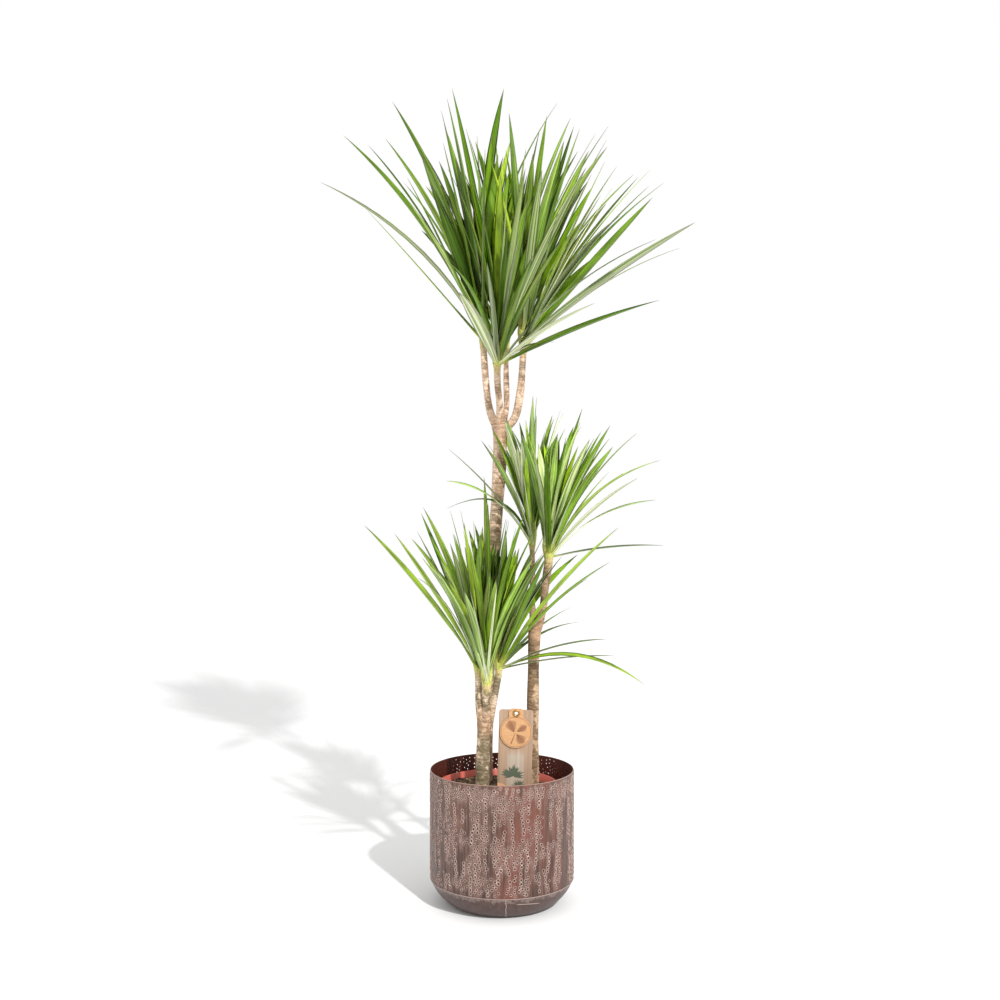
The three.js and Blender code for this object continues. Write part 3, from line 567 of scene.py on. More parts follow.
# %% Leaf heads
# A key leaf: picture x and y of its tip, depth to the back or front, arch, width that shows, tone.
HEADS = {
    "tall_left": dict(
        foot=(483.3, 346, 14, 6.6), shoot=95, reach=450, width=15, fill=22,
        lean=dict(left=34, right=24, front=50, back=50),
        keys=[
            (343, 135, -0.3, 24, 3.5, "green"), (368, 145, 0.7, 18, 2.6, "dark"),
            (385, 138, -0.6, 22, 4.6, "green"), (392, 101, 0.4, 17, 4.4, "dark"),
            (407, 177, -0.9, 8, 3.2, "green"), (366, 209, 0.8, 2, 1.6), (441, 110, 0.6, 6, 4, "dark"),
            (447, 98, -0.4, 6, 3.4), (443, 142, -0.8, 6, 4.4, "green"), (448, 197, 0.9, 5, 2.6, "green"),
            (477, 135, 0.8, 6, 3, "fresh"), (485, 148, -0.8, 6, 3.6), (504, 88, -0.3, 13, 7.4, "dark"),
            (558, 102, 0.6, 28, 1.8), (420, 236, -1, 16, 3),
        ],
    ),
    "tall_front": dict(
        foot=(497.2, 369, -4, 6.6), shoot=92, reach=450, width=15, fill=21,
        lean=dict(left=30, right=32, front=56, back=30),
        keys=[
            (320, 182, -0.3, 40, 3, "grey"), (452, 88, -0.3, 5, 5.4, "dark"),
            (450, 263, -0.6, 29, 4, "green"), (507, 197, -0.9, 8, 3), (520, 230, -1, 8, 4.4, "grey"),
            (508, 225, -1, 6, 3, "dark"), (562, 240, -0.9, 15, 4.6, "dark"),
            (533, 255, -0.9, 10, 4, "dark"), (575, 104, 0.3, 25, 4.4), (657, 239, -0.4, 26, 1.6, "grey"),
            (696, 222, -0.5, 13, 4, "grey"), (678, 265, 0.5, 62, 1.6, "grey"),
            (595, 303, -0.8, 8, 1.5, "silver"), (660, 300, -0.6, 9, 6, "dark"),
            (555, 342, -0.15, 12, 3.6, "silver"), (459, 292, -1, 8, 4, "silver"),
            (487, 262, -1, 10, 4.6, "grey"),
        ],
    ),
    "tall_back": dict(
        foot=(506, 350, 46, 5.8), shoot=95, reach=445, width=15, fill=26,
        lean=dict(left=30, right=34, front=20, back=55),
        keys=[
            (495, 133, 0.7, 6, 3), (571, 117, 0.5, 12, 3), (596, 133, 0.7, 14, 1.6),
            (609, 125, 0.5, 14, 1.6), (634, 174, 0.6, 16, 1.6), (466, 128, 0.7, 8, 3),
            (430, 168, 0.8, 12, 3), (540, 128, 0.7, 8, 3.6),
        ],
    ),
    "tall_right": dict(
        foot=(523.4, 350.5, 18, 7.2), shoot=95, reach=440, width=15, fill=20,
        lean=dict(left=24, right=46, front=50, back=50),
        keys=[
            (509, 112, -0.5, 6, 5), (547, 115, 0.6, 8, 4.4), (574, 126, 0.5, 8, 3.4),
            (580, 128, -0.5, 8, 3.6), (607, 139, 0.5, 12, 1.6), (608, 146, -0.4, 26, 3.6),
            (605, 161, -0.7, 3, 4.6, "fresh"), (592, 173, 0.8, 8, 3), (617, 166, 0.6, 10, 1.6, "fresh"),
            (612, 188, -0.7, 8, 3.8), (650, 170, 0.5, 14, 1.6), (649, 186, -0.3, 14, 1.8),
            (665, 182, 0.3, 20, 4), (653, 197, -0.4, 3, 5.4, "green"), (601, 195, 0.9, 8, 2),
            (593, 204, -0.9, 8, 3.2), (680, 248, 0.4, 20, 1.4, "grey"), (563, 196, -0.9, 6, 4.4),
        ],
    ),
    "mid_left": dict(
        foot=(532.2, 548, 15, 5.6), shoot=72, reach=285, width=12.5, fill=24,
        lean=dict(left=34, right=22, front=48, back=55),
        keys=[
            (533, 395, -0.2, 6, 3.4, "fresh"), (536.5, 397, 0.4, 6, 2.4), (531.6, 406, -0.5, 3, 5.6),
            (527, 427, 0.7, 4, 1.6), (503, 417, -0.5, 6, 5.6, "silver"), (488, 444, -0.5, 10, 3),
            (510, 451, 0.8, 6, 1.6), (506, 466, -0.8, 8, 2, "silver"), (523, 472, -0.9, 4, 3.4, "silver"),
            (448.5, 449, -0.6, 9, 2.4, "grey"), (446, 481, -0.6, 27, 3),
            (447, 508.5, -0.5, 46, 2.6, "dark"),
        ],
    ),
    "mid_right": dict(
        foot=(548.7, 560, -26, 7.8), shoot=72, reach=285, width=12.5, fill=22,
        lean=dict(left=22, right=50, front=50, back=48),
        keys=[
            (582.5, 408, 0.5, 6, 4.6, "green"), (566, 437, 0.6, 5, 1.8), (569, 434, -0.6, 5, 2),
            (601.5, 431, 0.5, 8, 3.6), (610.5, 425, -0.4, 6, 5.6, "green"), (637, 433, 0.4, 16, 1.6),
            (661, 460, 0.3, 30, 3, "fresh"), (638, 478, -0.7, 12, 4.8, "silver"), (656, 500, -0.5, 22, 3),
            (609, 472, 0.9, 10, 1.4), (663.5, 545.5, 0.5, 7, 1.4, "grey"),
            (546, 452, -0.9, 4, 6.6, "dark"), (546, 427, 0.5, 6, 2), (599, 446, -0.7, 8, 2.6, "silver"),
        ],
    ),
    "short_left": dict(
        foot=(478.2, 672.5, -46, 7), shoot=68, reach=310, width=13.5, fill=22,
        lean=dict(left=38, right=20, front=45, back=50),
        keys=[
            (364, 525, -0.3, 9, 4.8, "fresh"), (394, 533, -0.5, 5, 4.8, "fresh"), (417, 531, 0.6, 5, 4),
            (421, 513, 0.5, 3, 3.8), (423, 507, -0.4, 10, 6.4, "green"),
            (418, 578, -0.8, 22, 4.4, "silver"), (425, 590, -0.8, 4, 5.4, "green"),
            (450, 510, 0.6, 10, 1.4), (460.5, 510, 0.4, 10, 1.8), (464, 522, -0.5, 4, 4),
            (473.5, 520, 0.6, 4, 3.4),
        ],
    ),
    "short_front": dict(
        foot=(487, 687, -60, 7.6), shoot=70, reach=310, width=13.5, fill=23,
        lean=dict(left=28, right=28, front=54, back=26),
        keys=[
            (484, 476, -0.2, 5, 4.6, "dark"), (488, 503, -0.6, 5, 5, "dark"), (476.5, 532, -0.7, 4, 3),
            (506, 518, 0.3, 6, 1.8), (509, 520, -0.6, 5, 3.4), (525.5, 511, -0.4, 8, 4.6, "green"),
            (516, 527, -0.7, 5, 3.6, "green"), (545.6, 513, 0.3, 15, 1.5), (470, 590, -1, 8, 4.6),
            (497, 585, -1, 6, 5),
        ],
    ),
    "short_right": dict(
        foot=(498.7, 671.5, -30, 6.6), shoot=68, reach=310, width=13.5, fill=22,
        lean=dict(left=20, right=42, front=45, back=52),
        keys=[
            (547, 530, 0.6, 13, 1.8), (546.5, 556, -0.8, 2, 6, "dark"), (619, 527, 0.2, 12, 4.6, "fresh"),
            (610, 562, -0.5, 15, 3.4, "green"), (588, 578, 0.6, 14, 1.6, "grey"),
            (571, 607, 0.7, 12, 1.6), (580, 622, 0.6, 18, 1.6, "grey"), (607, 639, -0.4, 11, 1.4, "grey"),
            (617, 656, 0.3, 7, 1.6, "grey"), (646, 686, -0.3, 38, 3.2, "fresh"),
            (562, 556, -0.7, 10, 3.4),
        ],
    ),
}

# %% [markdown]
# A leaf needs three places only: its root on the shoot, its tip, and the bend between them that
# makes it arch. Upright leaves grow near the shoot's top and flat ones near its foot. A key leaf is
# rolled about its length until it looks as wide as in the reference view.

# %% The rule that sets out a leaf
SHOOT_TAPER = [1, 1.5, 1.05, 0.3]
ROOT_SUNK = 3.5
GOLDEN_ANGLE = 2.399963
KEY = dict(flattest=58, lowest=0.06, climb=0.85, power=1.6, least_depth=30)
KEY_TRIES = 9
TONE_PLACE = 5  # of the tone's name in a key, if it has one
NUDGE = 14
ROLL_STEP = 5
ROLL_STEPS = 14
FILL_TRIES = 14
UP = np.array([0, 0, 1.0])


def shoot_radius(head, share):
    place = share * (len(SHOOT_TAPER) - 1)
    low = min(math.floor(place), len(SHOOT_TAPER) - 2)
    taper = SHOOT_TAPER[low] + (SHOOT_TAPER[low + 1] - SHOOT_TAPER[low]) * (place - low)
    return head["foot"][3] * taper


def blade_plan(head, tip, bow, width, share, roll):
    """Root, bend and tip of one leaf, with its side and upper directions."""
    outward = unit(np.array([tip[0] - head["base"][0], tip[1] - head["base"][1], 0]))
    sunk = max(shoot_radius(head, share) - ROOT_SUNK, 0.5)
    root = head["base"] + UP * head["shoot"] * share + outward * sunk
    chord = tip - root
    along = unit(chord)
    rise = unit(UP - along * along[2])
    side = np.cross(along, rise)
    bend = root + 0.5 * chord + rise * 2 * bow
    return dict(root=root, tip=tip, bend=bend, rise=rise, side=side, width=width, roll=roll)


def roll_to_show(plan, wanted):
    """The roll that makes a leaf look as wide as wanted from the front."""
    best, miss = 0.0, math.inf
    for step in range(ROLL_STEPS + 1):
        for sign in (1, -1):
            roll = math.radians(ROLL_STEP * step * sign)
            flat = plan["side"] * math.cos(roll) + plan["rise"] * math.sin(roll)
            off = abs(plan["width"] * math.hypot(flat[0], flat[2]) - wanted)
            if off < miss - 0.2:
                best, miss = roll, off
    return best


def key_plan(head, key, attempt):
    picture_x, picture_y, side, bow, seen_width = key[:TONE_PLACE]
    base = head["base"]
    shown = np.linalg.norm(placed(picture_x, picture_y, base[1]) - base)
    spare = math.sqrt(max(head["reach"] ** 2 - shown**2, KEY["least_depth"] ** 2))
    step = math.ceil(attempt / 2) * NUDGE * (1 if attempt % 2 else -1)
    tip = placed(picture_x, picture_y, base[1] + side * spare + step)
    slope = math.atan2(math.hypot(tip[0] - base[0], tip[1] - base[1]), tip[2] - base[2])
    young = 1 - min(slope / math.radians(KEY["flattest"]), 1)
    share = KEY["lowest"] + KEY["climb"] * young ** KEY["power"]
    plan = blade_plan(head, tip, bow, head["width"], share, 0)
    plan["roll"] = roll_to_show(plan, seen_width * (base[1] - EYE["y"]) / EYE["focal"])
    return plan


# %% [markdown]
# A filling leaf takes its small differences from a repeatable draw: whole numbers are stirred
# until they look random, so the same leaf comes out the same every time.

# %% Filling leaves
FILL = dict(
    upright=4, age_power=0.8, turn_jitter=0.7, turn_growth=0.12, lean_jitter=8,
    shortest=0.56, length_spread=0.2, least_arch=0.02, arch_spread=0.06, roll_spread=1.6,
    least_width=0.82, width_spread=0.25, highest=0.92, drop=0.8,
)
STIR = (374761393, 668265263, 2246822519, 3266489917)
STIR_AGAIN = 1274126177
WHOLE = 2**32


def chance(*numbers):
    """A repeatable draw between 0 and 1 for a head, a blade, a try and the count of the draw."""
    h = sum(n * s for n, s in zip(numbers, STIR)) % WHOLE
    h ^= h >> 13
    h = (h * STIR_AGAIN) % WHOLE
    h ^= h >> 16
    return h / WHOLE


def fill_plan(head, number, attempt):
    draws = [chance(head["number"], number, attempt, k) for k in range(7)]
    age = (number + 0.5) / head["fill"]
    swing = FILL["turn_jitter"] + FILL["turn_growth"] * attempt
    turn = number * GOLDEN_ANGLE + (draws[1] - 0.5) * swing
    across, back = math.cos(turn), math.sin(turn)
    side_lean = head["lean"]["right" if across > 0 else "left"]
    depth_lean = head["lean"]["back" if back > 0 else "front"]
    most = side_lean * across**2 + depth_lean * back**2
    usual = FILL["upright"] + (most - FILL["upright"]) * age ** FILL["age_power"]
    lean = usual + (draws[2] - 0.5) * (FILL["lean_jitter"] + attempt)
    slope = math.radians(max(lean, 1))
    length = head["reach"] * (FILL["shortest"] + FILL["length_spread"] * draws[3])
    out = math.sin(slope) * length
    tip = head["base"] + UP * head["shoot"] * 0.5
    tip = tip + np.array([across * out, back * out, math.cos(slope) * length])
    bow = length * (FILL["least_arch"] + FILL["arch_spread"] * age * draws[4])
    roll = (draws[5] - 0.5) * FILL["roll_spread"]
    width = head["width"] * (FILL["least_width"] + FILL["width_spread"] * draws[6])
    return blade_plan(head, tip, bow, width, FILL["highest"] - FILL["drop"] * age, roll)


# %% [markdown]
# The tips of the solid's blades are among its vertices. A tree of those vertices answers quickly
# whether a try ends on one of them, within a twentieth of a millimetre.

# %% Finding each leaf in the solid model
SAME_PLACE = 0.05


def tip_finder(node):
    vertices = NODES[node].data.vertices
    tree = kdtree.KDTree(len(vertices))
    for i, vertex in enumerate(vertices):
        tree.insert(vertex.co / MM, i)
    tree.balance()
    return lambda tip: tree.find(tip)[2] < SAME_PLACE


def leaves_of(name, number):
    """The leaves of one head as plans, youngest last, and how many the solid left out."""
    head = dict(HEADS[name], number=number)
    head["base"] = placed(*head["foot"][:3])
    found = tip_finder("leaves_" + name)
    plans, missing = [], 0
    wanted = [(KEY_TRIES, lambda a, k=k: key_plan(head, k, a)) for k in head["keys"]]
    wanted += [(FILL_TRIES, lambda a, n=n: fill_plan(head, n, a)) for n in range(head["fill"])]
    for order, (tries, plan_at) in enumerate(wanted):
        for attempt in range(tries):
            plan = plan_at(attempt)
            if found(plan["tip"]):
                plan["key"] = head["keys"][order] if order < len(head["keys"]) else ()
                plans.append(plan)
                break
        else:
            missing += 1
    print(name, len(plans), "leaves found,", missing, "left out")
    return head, plans


# %% [markdown]
# ## The blade's own shape
# Each blade is swept along its curve with eight points round its section: two sharp edges, a
# channel on the upper side and a rib under the middle. The base is folded round the shoot and
# opens out over the first tenth. Every face corner stores how far along and across the blade it
# is and how pale that side is, so one material can colour the rib, the margins and the base.

# %% Sweeping a blade
STATIONS = [0, 0.02, 0.045, 0.075, 0.12, 0.18, 0.25, 0.33, 0.42, 0.51, 0.6, 0.68, 0.75, 0.81]
STATIONS += [0.865, 0.91, 0.945, 0.97, 0.988]
SHEATH_WIDTH = 0.68
NECK_AT = 0.07
NECK_WIDTH = 0.52
WIDEST_AT = 0.42
TAPER_POWER = 2.7
RIB = 0.95
SECTION = [
    (-1, 1, 0, 0), (-0.5, 0.3, 0, 0), (0, 0, 0, 0), (0.5, 0.3, 0, 0),
    (1, 1, 0, 0), (0.5, 0.3, 0.7, 1), (0, 0, 1, 1), (-0.5, 0.3, 0.7, 1),
]


def width_at(t, blunt):
    """Share of the full width: a clasping sheath, a neck, the widest third and the point."""
    if t < NECK_AT:
        return SHEATH_WIDTH + (NECK_WIDTH - SHEATH_WIDTH) * t / NECK_AT
    if t < WIDEST_AT:
        rise = math.sin(math.pi / 2 * (t - NECK_AT) / (WIDEST_AT - NECK_AT))
        return NECK_WIDTH + (1 - NECK_WIDTH) * rise
    if blunt:
        return math.sqrt(max(1 - max((t - 0.8) / 0.2, 0) ** 2, 0))
    return 1 - ((t - WIDEST_AT) / (1 - WIDEST_AT)) ** TAPER_POWER


def fold_at(t):
    """Depth of the channel as a share of the blade's width."""
    return 0.06 + 0.3 * math.exp(-t / 0.05) + 0.06 * (1 - t)


class Foliage:
    """Collects the blades of one head into one mesh."""

    def __init__(self):
        self.points, self.faces, self.places, self.tones = [], [], [], []

    def face(self, indices, places, tone):
        self.faces.append(indices)
        self.places.extend(places)
        self.tones.extend([tone] * len(indices))

    def blade(self, plan, tone):
        root, bend, tip = plan["root"], plan["bend"], plan["tip"]
        start = len(self.points)
        count = len(SECTION)
        for t in STATIONS:
            centre = root * (1 - t) ** 2 + bend * 2 * t * (1 - t) + tip * t**2
            along = unit((bend - root) * (1 - t) + (tip - bend) * t)
            opened = min(t / 0.3, 1)
            opened = opened * opened * (3 - 2 * opened)
            roll = plan["roll"] * (0.25 + 0.75 * opened) + plan.get("twist", 0) * t
            flat = plan["side"] * math.cos(roll) + plan["rise"] * math.sin(roll)
            across = unit(flat - along * flat.dot(along))
            upper = np.cross(across, along)
            centre = centre + across * plan.get("sway", 0) * math.sin(math.pi * t) ** 2
            width = plan["width"] * width_at(t, plan.get("blunt", False))
            half, fold = width / 2, width * fold_at(t)
            rib = RIB * (0.35 + 0.65 * (1 - t))
            for x, lift, under, _ in SECTION:
                self.points.append(centre + across * half * x + upper * (fold * lift - rib * under))
        self.points.append(tip)
        for i in range(len(STATIONS)):
            last = i == len(STATIONS) - 1
            for k in range(count):
                a, b = start + i * count + k, start + i * count + (k + 1) % count
                side = plan["pale_below"] if k >= 4 else plan["pale_above"]
                xa, xb = SECTION[k][0], SECTION[(k + 1) % count][0]
                ta, tb = STATIONS[i], 1.0 if last else STATIONS[i + 1]
                if last:
                    corners = [(ta, xa, side), (ta, xb, side), (tb, (xa + xb) / 2, side)]
                    self.face((a, b, start + len(STATIONS) * count), corners, tone)
                else:
                    corners = [(ta, xa, side), (ta, xb, side), (tb, xb, side), (tb, xa, side)]
                    self.face((a, b, b + count, a + count), corners, tone)
        cap = tuple(range(start + count - 1, start - 1, -1))
        self.face(cap, [(0, 0, 0)] * count, tone)

    def mesh(self, name):
        mesh = mesh_of(name, self.points, self.faces)
        store(mesh, "leaf_place", self.places, "CORNER")
        store(mesh, "leaf_tone", self.tones, "CORNER")
        return mesh


# %% [markdown]
# ## Leaf finish
# The leaves run from deep green to yellow-green. The yellow-green end is partly the leaves' own
# colour and partly painted light, for light that shines through a leaf from behind. The old low
# ones are greyer and paler, above all on their undersides, and that paleness is partly their own
# colour and partly a painted sheen. All have lengthwise stripes and fine veins, a thin reddish
# margin, a cream base that clasps the shoot, and a dry grey-brown point.


# %% Leaf material
LEAF_GLOSS = 0.07


def leaf_material():
    leaf = Recipe("leaf_blade")
    along, across, pale = leaf.stored("leaf_place")
    hue, bright, seed = leaf.stored("leaf_tone")
    # The yellow-green top of the ramp is partly the leaves' own colour and partly painted light that shines
    # through a leaf from behind.
    stops = [(0.0, srgb(28, 60, 1)), (0.35, srgb(78, 122, 4))]
    stops += [(0.7, srgb(120, 162, 10)), (1.0, srgb(160, 190, 28))]
    green = leaf.ramp(hue, stops)

    def lengthwise(times_across, times_along, times_seed):
        """Places on the blade, stretched so that noise turns into stripes along it."""
        pairs = ((across, times_across), (along, times_along), (seed, times_seed))
        places = {i: leaf.times(value, times) for i, (value, times) in enumerate(pairs)}
        return leaf.node("ShaderNodeCombineXYZ", places).outputs[0]

    veins = leaf.noise(lengthwise(9.0, 1.4, 37.0), 1.6, 3, 0.6)
    stripes = leaf.noise(lengthwise(2.6, 0.8, 61.0), 1.3, 1)
    blotch = leaf.noise(lengthwise(0.6, 5.0, 91.0), 1.1, 2)
    deep = leaf.mix(0.7, green, srgb(24, 52, 2))
    colour = leaf.mix(leaf.step(blotch, 0.36, 0.72), green, deep)
    variegated = leaf.scaled(leaf.step(seed, 0.5, 0.9), 0.45, 0.25)
    striped = leaf.times(leaf.step(stripes, 0.5, 0.62), variegated)
    colour = leaf.mix(striped, colour, leaf.mix(0.45, green, srgb(212, 216, 92)))
    # The silver is partly the pale undersides' own colour and partly a painted sheen.
    silver = leaf.mix(leaf.step(stripes, 0.35, 0.65), srgb(126, 144, 86), srgb(226, 227, 198))
    colour = leaf.mix(pale, colour, silver)
    grey = leaf.scaled(veins, 1.2, 0.38)
    streak = leaf.node("ShaderNodeCombineColor", {0: grey, 1: grey, 2: grey}).outputs[0]
    colour = leaf.mix(1.0, colour, streak, "MULTIPLY")
    edge = leaf.math("ABSOLUTE", across)
    rib = leaf.less(leaf.step(edge, 0.0, 0.14))
    colour = leaf.over(colour, srgb(156, 180, 52), rib, 0.3)
    colour = leaf.over(colour, srgb(116, 70, 44), leaf.step(edge, 0.86, 0.98), 0.5)
    base = leaf.less(leaf.step(along, 0.02, 0.12))
    colour = leaf.over(colour, srgb(196, 196, 96), base, 0.6)
    dry = leaf.step(along, 0.93, 0.985)
    colour = leaf.over(colour, srgb(112, 98, 92), dry, 0.75)
    tint = leaf.node("ShaderNodeCombineColor", {0: bright, 1: bright, 2: bright}).outputs[0]
    colour = leaf.mix(1.0, colour, tint, "MULTIPLY")
    rough = leaf.scaled(veins, 0.2, 0.32)
    return leaf.finish(colour, rough, height=veins, depth=0.00025, gloss=LEAF_GLOSS)


LEAF = leaf_material()


def shoot_material():
    shoot = Recipe("green_shoot")
    share, _, _ = shoot.stored("shoot")
    grain = shoot.noise(shoot.stretched(shoot.place(), 1, 1, 0.1), 460, 3)
    stops = [(0.3, srgb(128, 140, 52)), (0.5, srgb(186, 188, 88)), (0.7, srgb(206, 202, 128))]
    colour = shoot.ramp(grain, stops)
    woody = shoot.less(shoot.step(share, 0.01, 0.08))
    woody = shoot.times(woody, shoot.step(grain, 0.2, 0.55))
    colour = shoot.over(colour, srgb(206, 168, 134), woody, 0.8)
    return shoot.finish(colour, 0.5, height=grain, depth=0.0003)


# %% [markdown]
# ## Growing the heads
# Every head is one mesh: the leaves that the solid model has, a few young spears that stand in
# its middle, and the clasping bases of older leaves round the foot of the shoot. One green for all
# would turn a head into a flat shape, so hue, brightness and paleness are drawn for each leaf, and
# low leaves that lean forward tend to be palest; that extra paleness is a painted sheen. Leaves that
# catch the eye have their own tone.

# %% Heads of leaves
SPEARS = 4
SPEAR = dict(lean=(2, 9), length=(0.3, 0.5), from_share=0.8, arch=0.01, width=0.7, root=0.9, roll=0.5)
SCALES = 9
SCALE = dict(turn=0.3, climb=0.012, length=(20, 38), away=(1.25, 1.5), arch=-0.5, width=1.5, sunk=0.02)
FULLER = {"tall": 1.34, "mid": 1.2, "short": 1.2}
FRESHNESS = {"tall": (0.48, 1.16), "mid": (0.6, 1.38), "short": (0.5, 1.15)}
PALER = {"tall": 0.1, "mid": 0.46, "short": 0.14}
OLD_LEAN = 55  # degrees from upright, where a leaf counts as old
AGE_POWER = 1.6
# The paleness of old leaves, most of all of those that lean forward, is partly a painted sheen.
PALE = dict(least=0.02, old=0.3, forward=0.5, spread=2.0, chance=1.5, most=0.9)
PALE_ABOVE, PALE_BELOW = 0.3, 0.95  # how much of the paleness each side shows
HUE_SPREAD, HUE_MOST = 0.26, 0.9
BRIGHT_SPREAD = (0.66, 1.34)
# The yellow-green of 'fresh' is partly painted light through the leaf; the paleness of 'silver' and 'grey'
# is partly a painted sheen.
TONES = {  # hue, brightness and paleness
    "dark": (0.28, 1.12, 0.0),
    "green": (0.5, 1.16, 0.04),
    "fresh": (0.85, 1.1, 0.14),
    "silver": (0.5, 1.2, 0.9),
    "grey": (0.3, 0.92, 0.62),
}
STUBS = {"short_front": [(487, 652, -26, 11.0, 0.06)]}


def lay_tone(plan, plant, rng):
    """A leaf's hue and brightness, and how pale its sides are: its own tone, or one drawn for it."""
    lean = unit(plan["tip"] - plan["root"])
    slope = math.degrees(math.acos(min(lean[2], 1)))
    old = (slope / OLD_LEAN) ** AGE_POWER
    level = PALE["least"] + PALE["old"] * old - PALE["forward"] * lean[1] * old
    level = level * PALE["spread"] * rng.random() ** 2
    level = max(level, 0) + PALER[plant] * PALE["chance"] * rng.random() ** 2
    level = min(level, PALE["most"])
    fresh, bright = FRESHNESS[plant]
    hue = min(max(rng.gauss(fresh, HUE_SPREAD), 0), HUE_MOST)
    own = (hue, bright * rng.uniform(*BRIGHT_SPREAD), level)
    named = plan.get("key", ())[TONE_PLACE:]
    hue, light, level = TONES[named[0]] if named else own
    plan["pale_above"] = PALE_ABOVE * level
    plan["pale_below"] = PALE["least"] + PALE_BELOW * level
    return hue, light, rng.random()


def spear_plan(head, k, rng):
    """A young leaf in the middle of a head."""
    turn = k * GOLDEN_ANGLE
    lean = math.radians(rng.uniform(*SPEAR["lean"]))
    length = head["reach"] * rng.uniform(*SPEAR["length"])
    out = math.sin(lean) * length
    tip = head["base"] + UP * head["shoot"] * SPEAR["from_share"]
    tip = tip + np.array([math.cos(turn) * out, math.sin(turn) * out, math.cos(lean) * length])
    roll = rng.uniform(-SPEAR["roll"], SPEAR["roll"])
    width = head["width"] * SPEAR["width"]
    return blade_plan(head, tip, length * SPEAR["arch"], width, SPEAR["root"], roll)


def scale_plan(head, k, rng):
    """The clasping base of an old leaf, which hugs the foot of the shoot."""
    turn = k * GOLDEN_ANGLE + rng.uniform(-SCALE["turn"], SCALE["turn"])
    share = SCALE["climb"] * k
    foot = head["foot"][3]
    length = rng.uniform(*SCALE["length"])
    away = np.array([math.cos(turn), math.sin(turn), 0])
    tip = head["base"] + UP * (head["shoot"] * share + length) + away * foot * rng.uniform(*SCALE["away"])
    return blade_plan(head, tip, SCALE["arch"], foot * SCALE["width"], share - SCALE["sunk"], 0)


def stub_plan(head, picture_x, picture_y, forward, width, share):
    """A leaf that was cut short, with its blunt end at this place in the picture."""
    tip = placed(picture_x, picture_y, head["base"][1] + forward)
    plan = blade_plan(head, tip, 2.0, width, share, 0)
    plan["blunt"] = True
    return plan


def grow_head(name, number):
    head, plans = leaves_of(name, number)
    plans += [stub_plan(head, *stub) for stub in STUBS.get(name, ())]
    plant = name.split("_")[0]
    rng = random.Random(900 + number)
    foliage = Foliage()
    for plan in plans + [spear_plan(head, k, rng) for k in range(SPEARS)]:
        plan["twist"] = rng.uniform(-0.25, 0.25)
        plan["sway"] = rng.uniform(-1, 1) if plan.get("key") else rng.uniform(-4, 4)
        plan["width"] *= FULLER[plant]
        foliage.blade(plan, lay_tone(plan, plant, rng))
    for k in range(SCALES):
        plan = scale_plan(head, k, rng)
        plan["pale_above"] = plan["pale_below"] = rng.uniform(0.3, 0.8)
        foliage.blade(plan, (0.9, rng.uniform(0.8, 1.1), rng.random()))
    mesh = foliage.mesh("leaves_" + name + "_fine")
    dress("leaves_" + name + "_fine", mesh, LEAF, ["leaves_" + name])
    grow_shoot(name, head)


def new_piece(name, points, faces, material, slot, replaces=(), smooth=True):
    """A mesh object from points in millimetres, riding on the plant's one body."""
    mesh = mesh_of(name, points, faces)
    mesh.validate()
    return dress(name, mesh, material, replaces, smooth)


SHOOT_START = -0.045
SHOOT_STEPS = 40
SHOOT_SIDES = 20
SLEEVE_TOP = 0.05  # up to here the shoot stands a little thinner, inside the bark's end


def grow_shoot(name, head):
    """The pale shoot that the leaf bases clasp, with a faint step at each old leaf base."""
    shares = SHOOT_START + (1 - SHOOT_START) * np.arange(SHOOT_STEPS + 1) / SHOOT_STEPS
    points = [head["base"] + UP * head["shoot"] * share for share in shares]
    steps = 1 - 0.05 * ((shares * 14) % 1)
    sleeve = 0.92 + 0.08 * np.clip(shares / SLEEVE_TOP, 0, 1)
    radii = np.array([shoot_radius(head, max(share, 0)) for share in shares]) * steps * sleeve
    skin, faces = tube(np.array(points), radii, SHOOT_SIDES)
    shoot = new_piece("shoot_" + name, skin, faces, SHOOT, "leaf_blade")
    store(shoot.data, "shoot", [(share, 0, 0) for share in np.repeat(shares, SHOOT_SIDES)])


SHOOT = shoot_material()
for number, name in enumerate(HEADS):
    grow_head(name, number + 1)

# %% [markdown]
# ## The punched planter
# The planter's wall is thin sheet metal, punched from inside with small holes whose edges stand
# up as little collars. They run down the wall in drips of one, two or three holes across.
# Cutting them with booleans would be slow, so the wall is drawn flat: the holes and their collars
# are points, a Delaunay triangulation joins them, and the flat sheet is then rolled into a
# cylinder. The holes are real, so light shows through the far side of the wall.

# %% Where the holes are punched
PLANTER = {"radius": 125.0, "height": 232.0, "seam": 44.0, "foot": 85.0, "sheet": 1.2, "lap": 7.0}
ROUND = 2 * math.pi * PLANTER["radius"]
WALL_HEIGHT = PLANTER["height"] - PLANTER["seam"]
HOLE = {"radius": 1.3, "lift": 0.5, "tint": 0.0, "sides": 8}
COLLAR = [
    {"radius": 2.1, "lift": 0.8, "tint": 0.3},
    {"radius": 2.75, "lift": 1.15, "tint": 1.0},
    {"radius": 3.4, "lift": 0.0, "tint": 0.0},
]
SPACING = 5.8
BARE_EDGE = 4.0
DRIPS = 68
DRIP_ASIDE = (0.1, 0.9)  # where in its own strip a drip starts
DRIP_DOWN = 6  # how far below the rim it may start
DRIP_RUN = (4, 15)  # rows of holes in one stretch
DRIP_STEP = (5.9, 7.0)  # from one row down to the next
DRIP_GAPS = (4, 7, 12, 20)  # bare sheet between two stretches
GAP_SPREAD = (0.7, 1.2)
DRIP_LEAN, DRIP_WANDER, DRIP_PULL = 0.8, 1.7, 0.06
DRIP_SWELL = 12.0
TOP_SWELL = {"more": 0.3, "within": 30}  # the drips are wider near the rim
TWO_ACROSS, THREE_ACROSS = 0.35, 0.93  # the swell at which a row gains a hole
HOLE_SPREAD = (0.92, 1.08)
CROWD_SHRINK = 0.1
HOLE_SHIFT = 0.4
DRIP_ROWS = {1: [(0, 0)], 2: [(-3.2, 0), (3.2, 3.4)], 3: [(-6.3, 0.8), (0, -2.6), (6.3, 1.4)]}


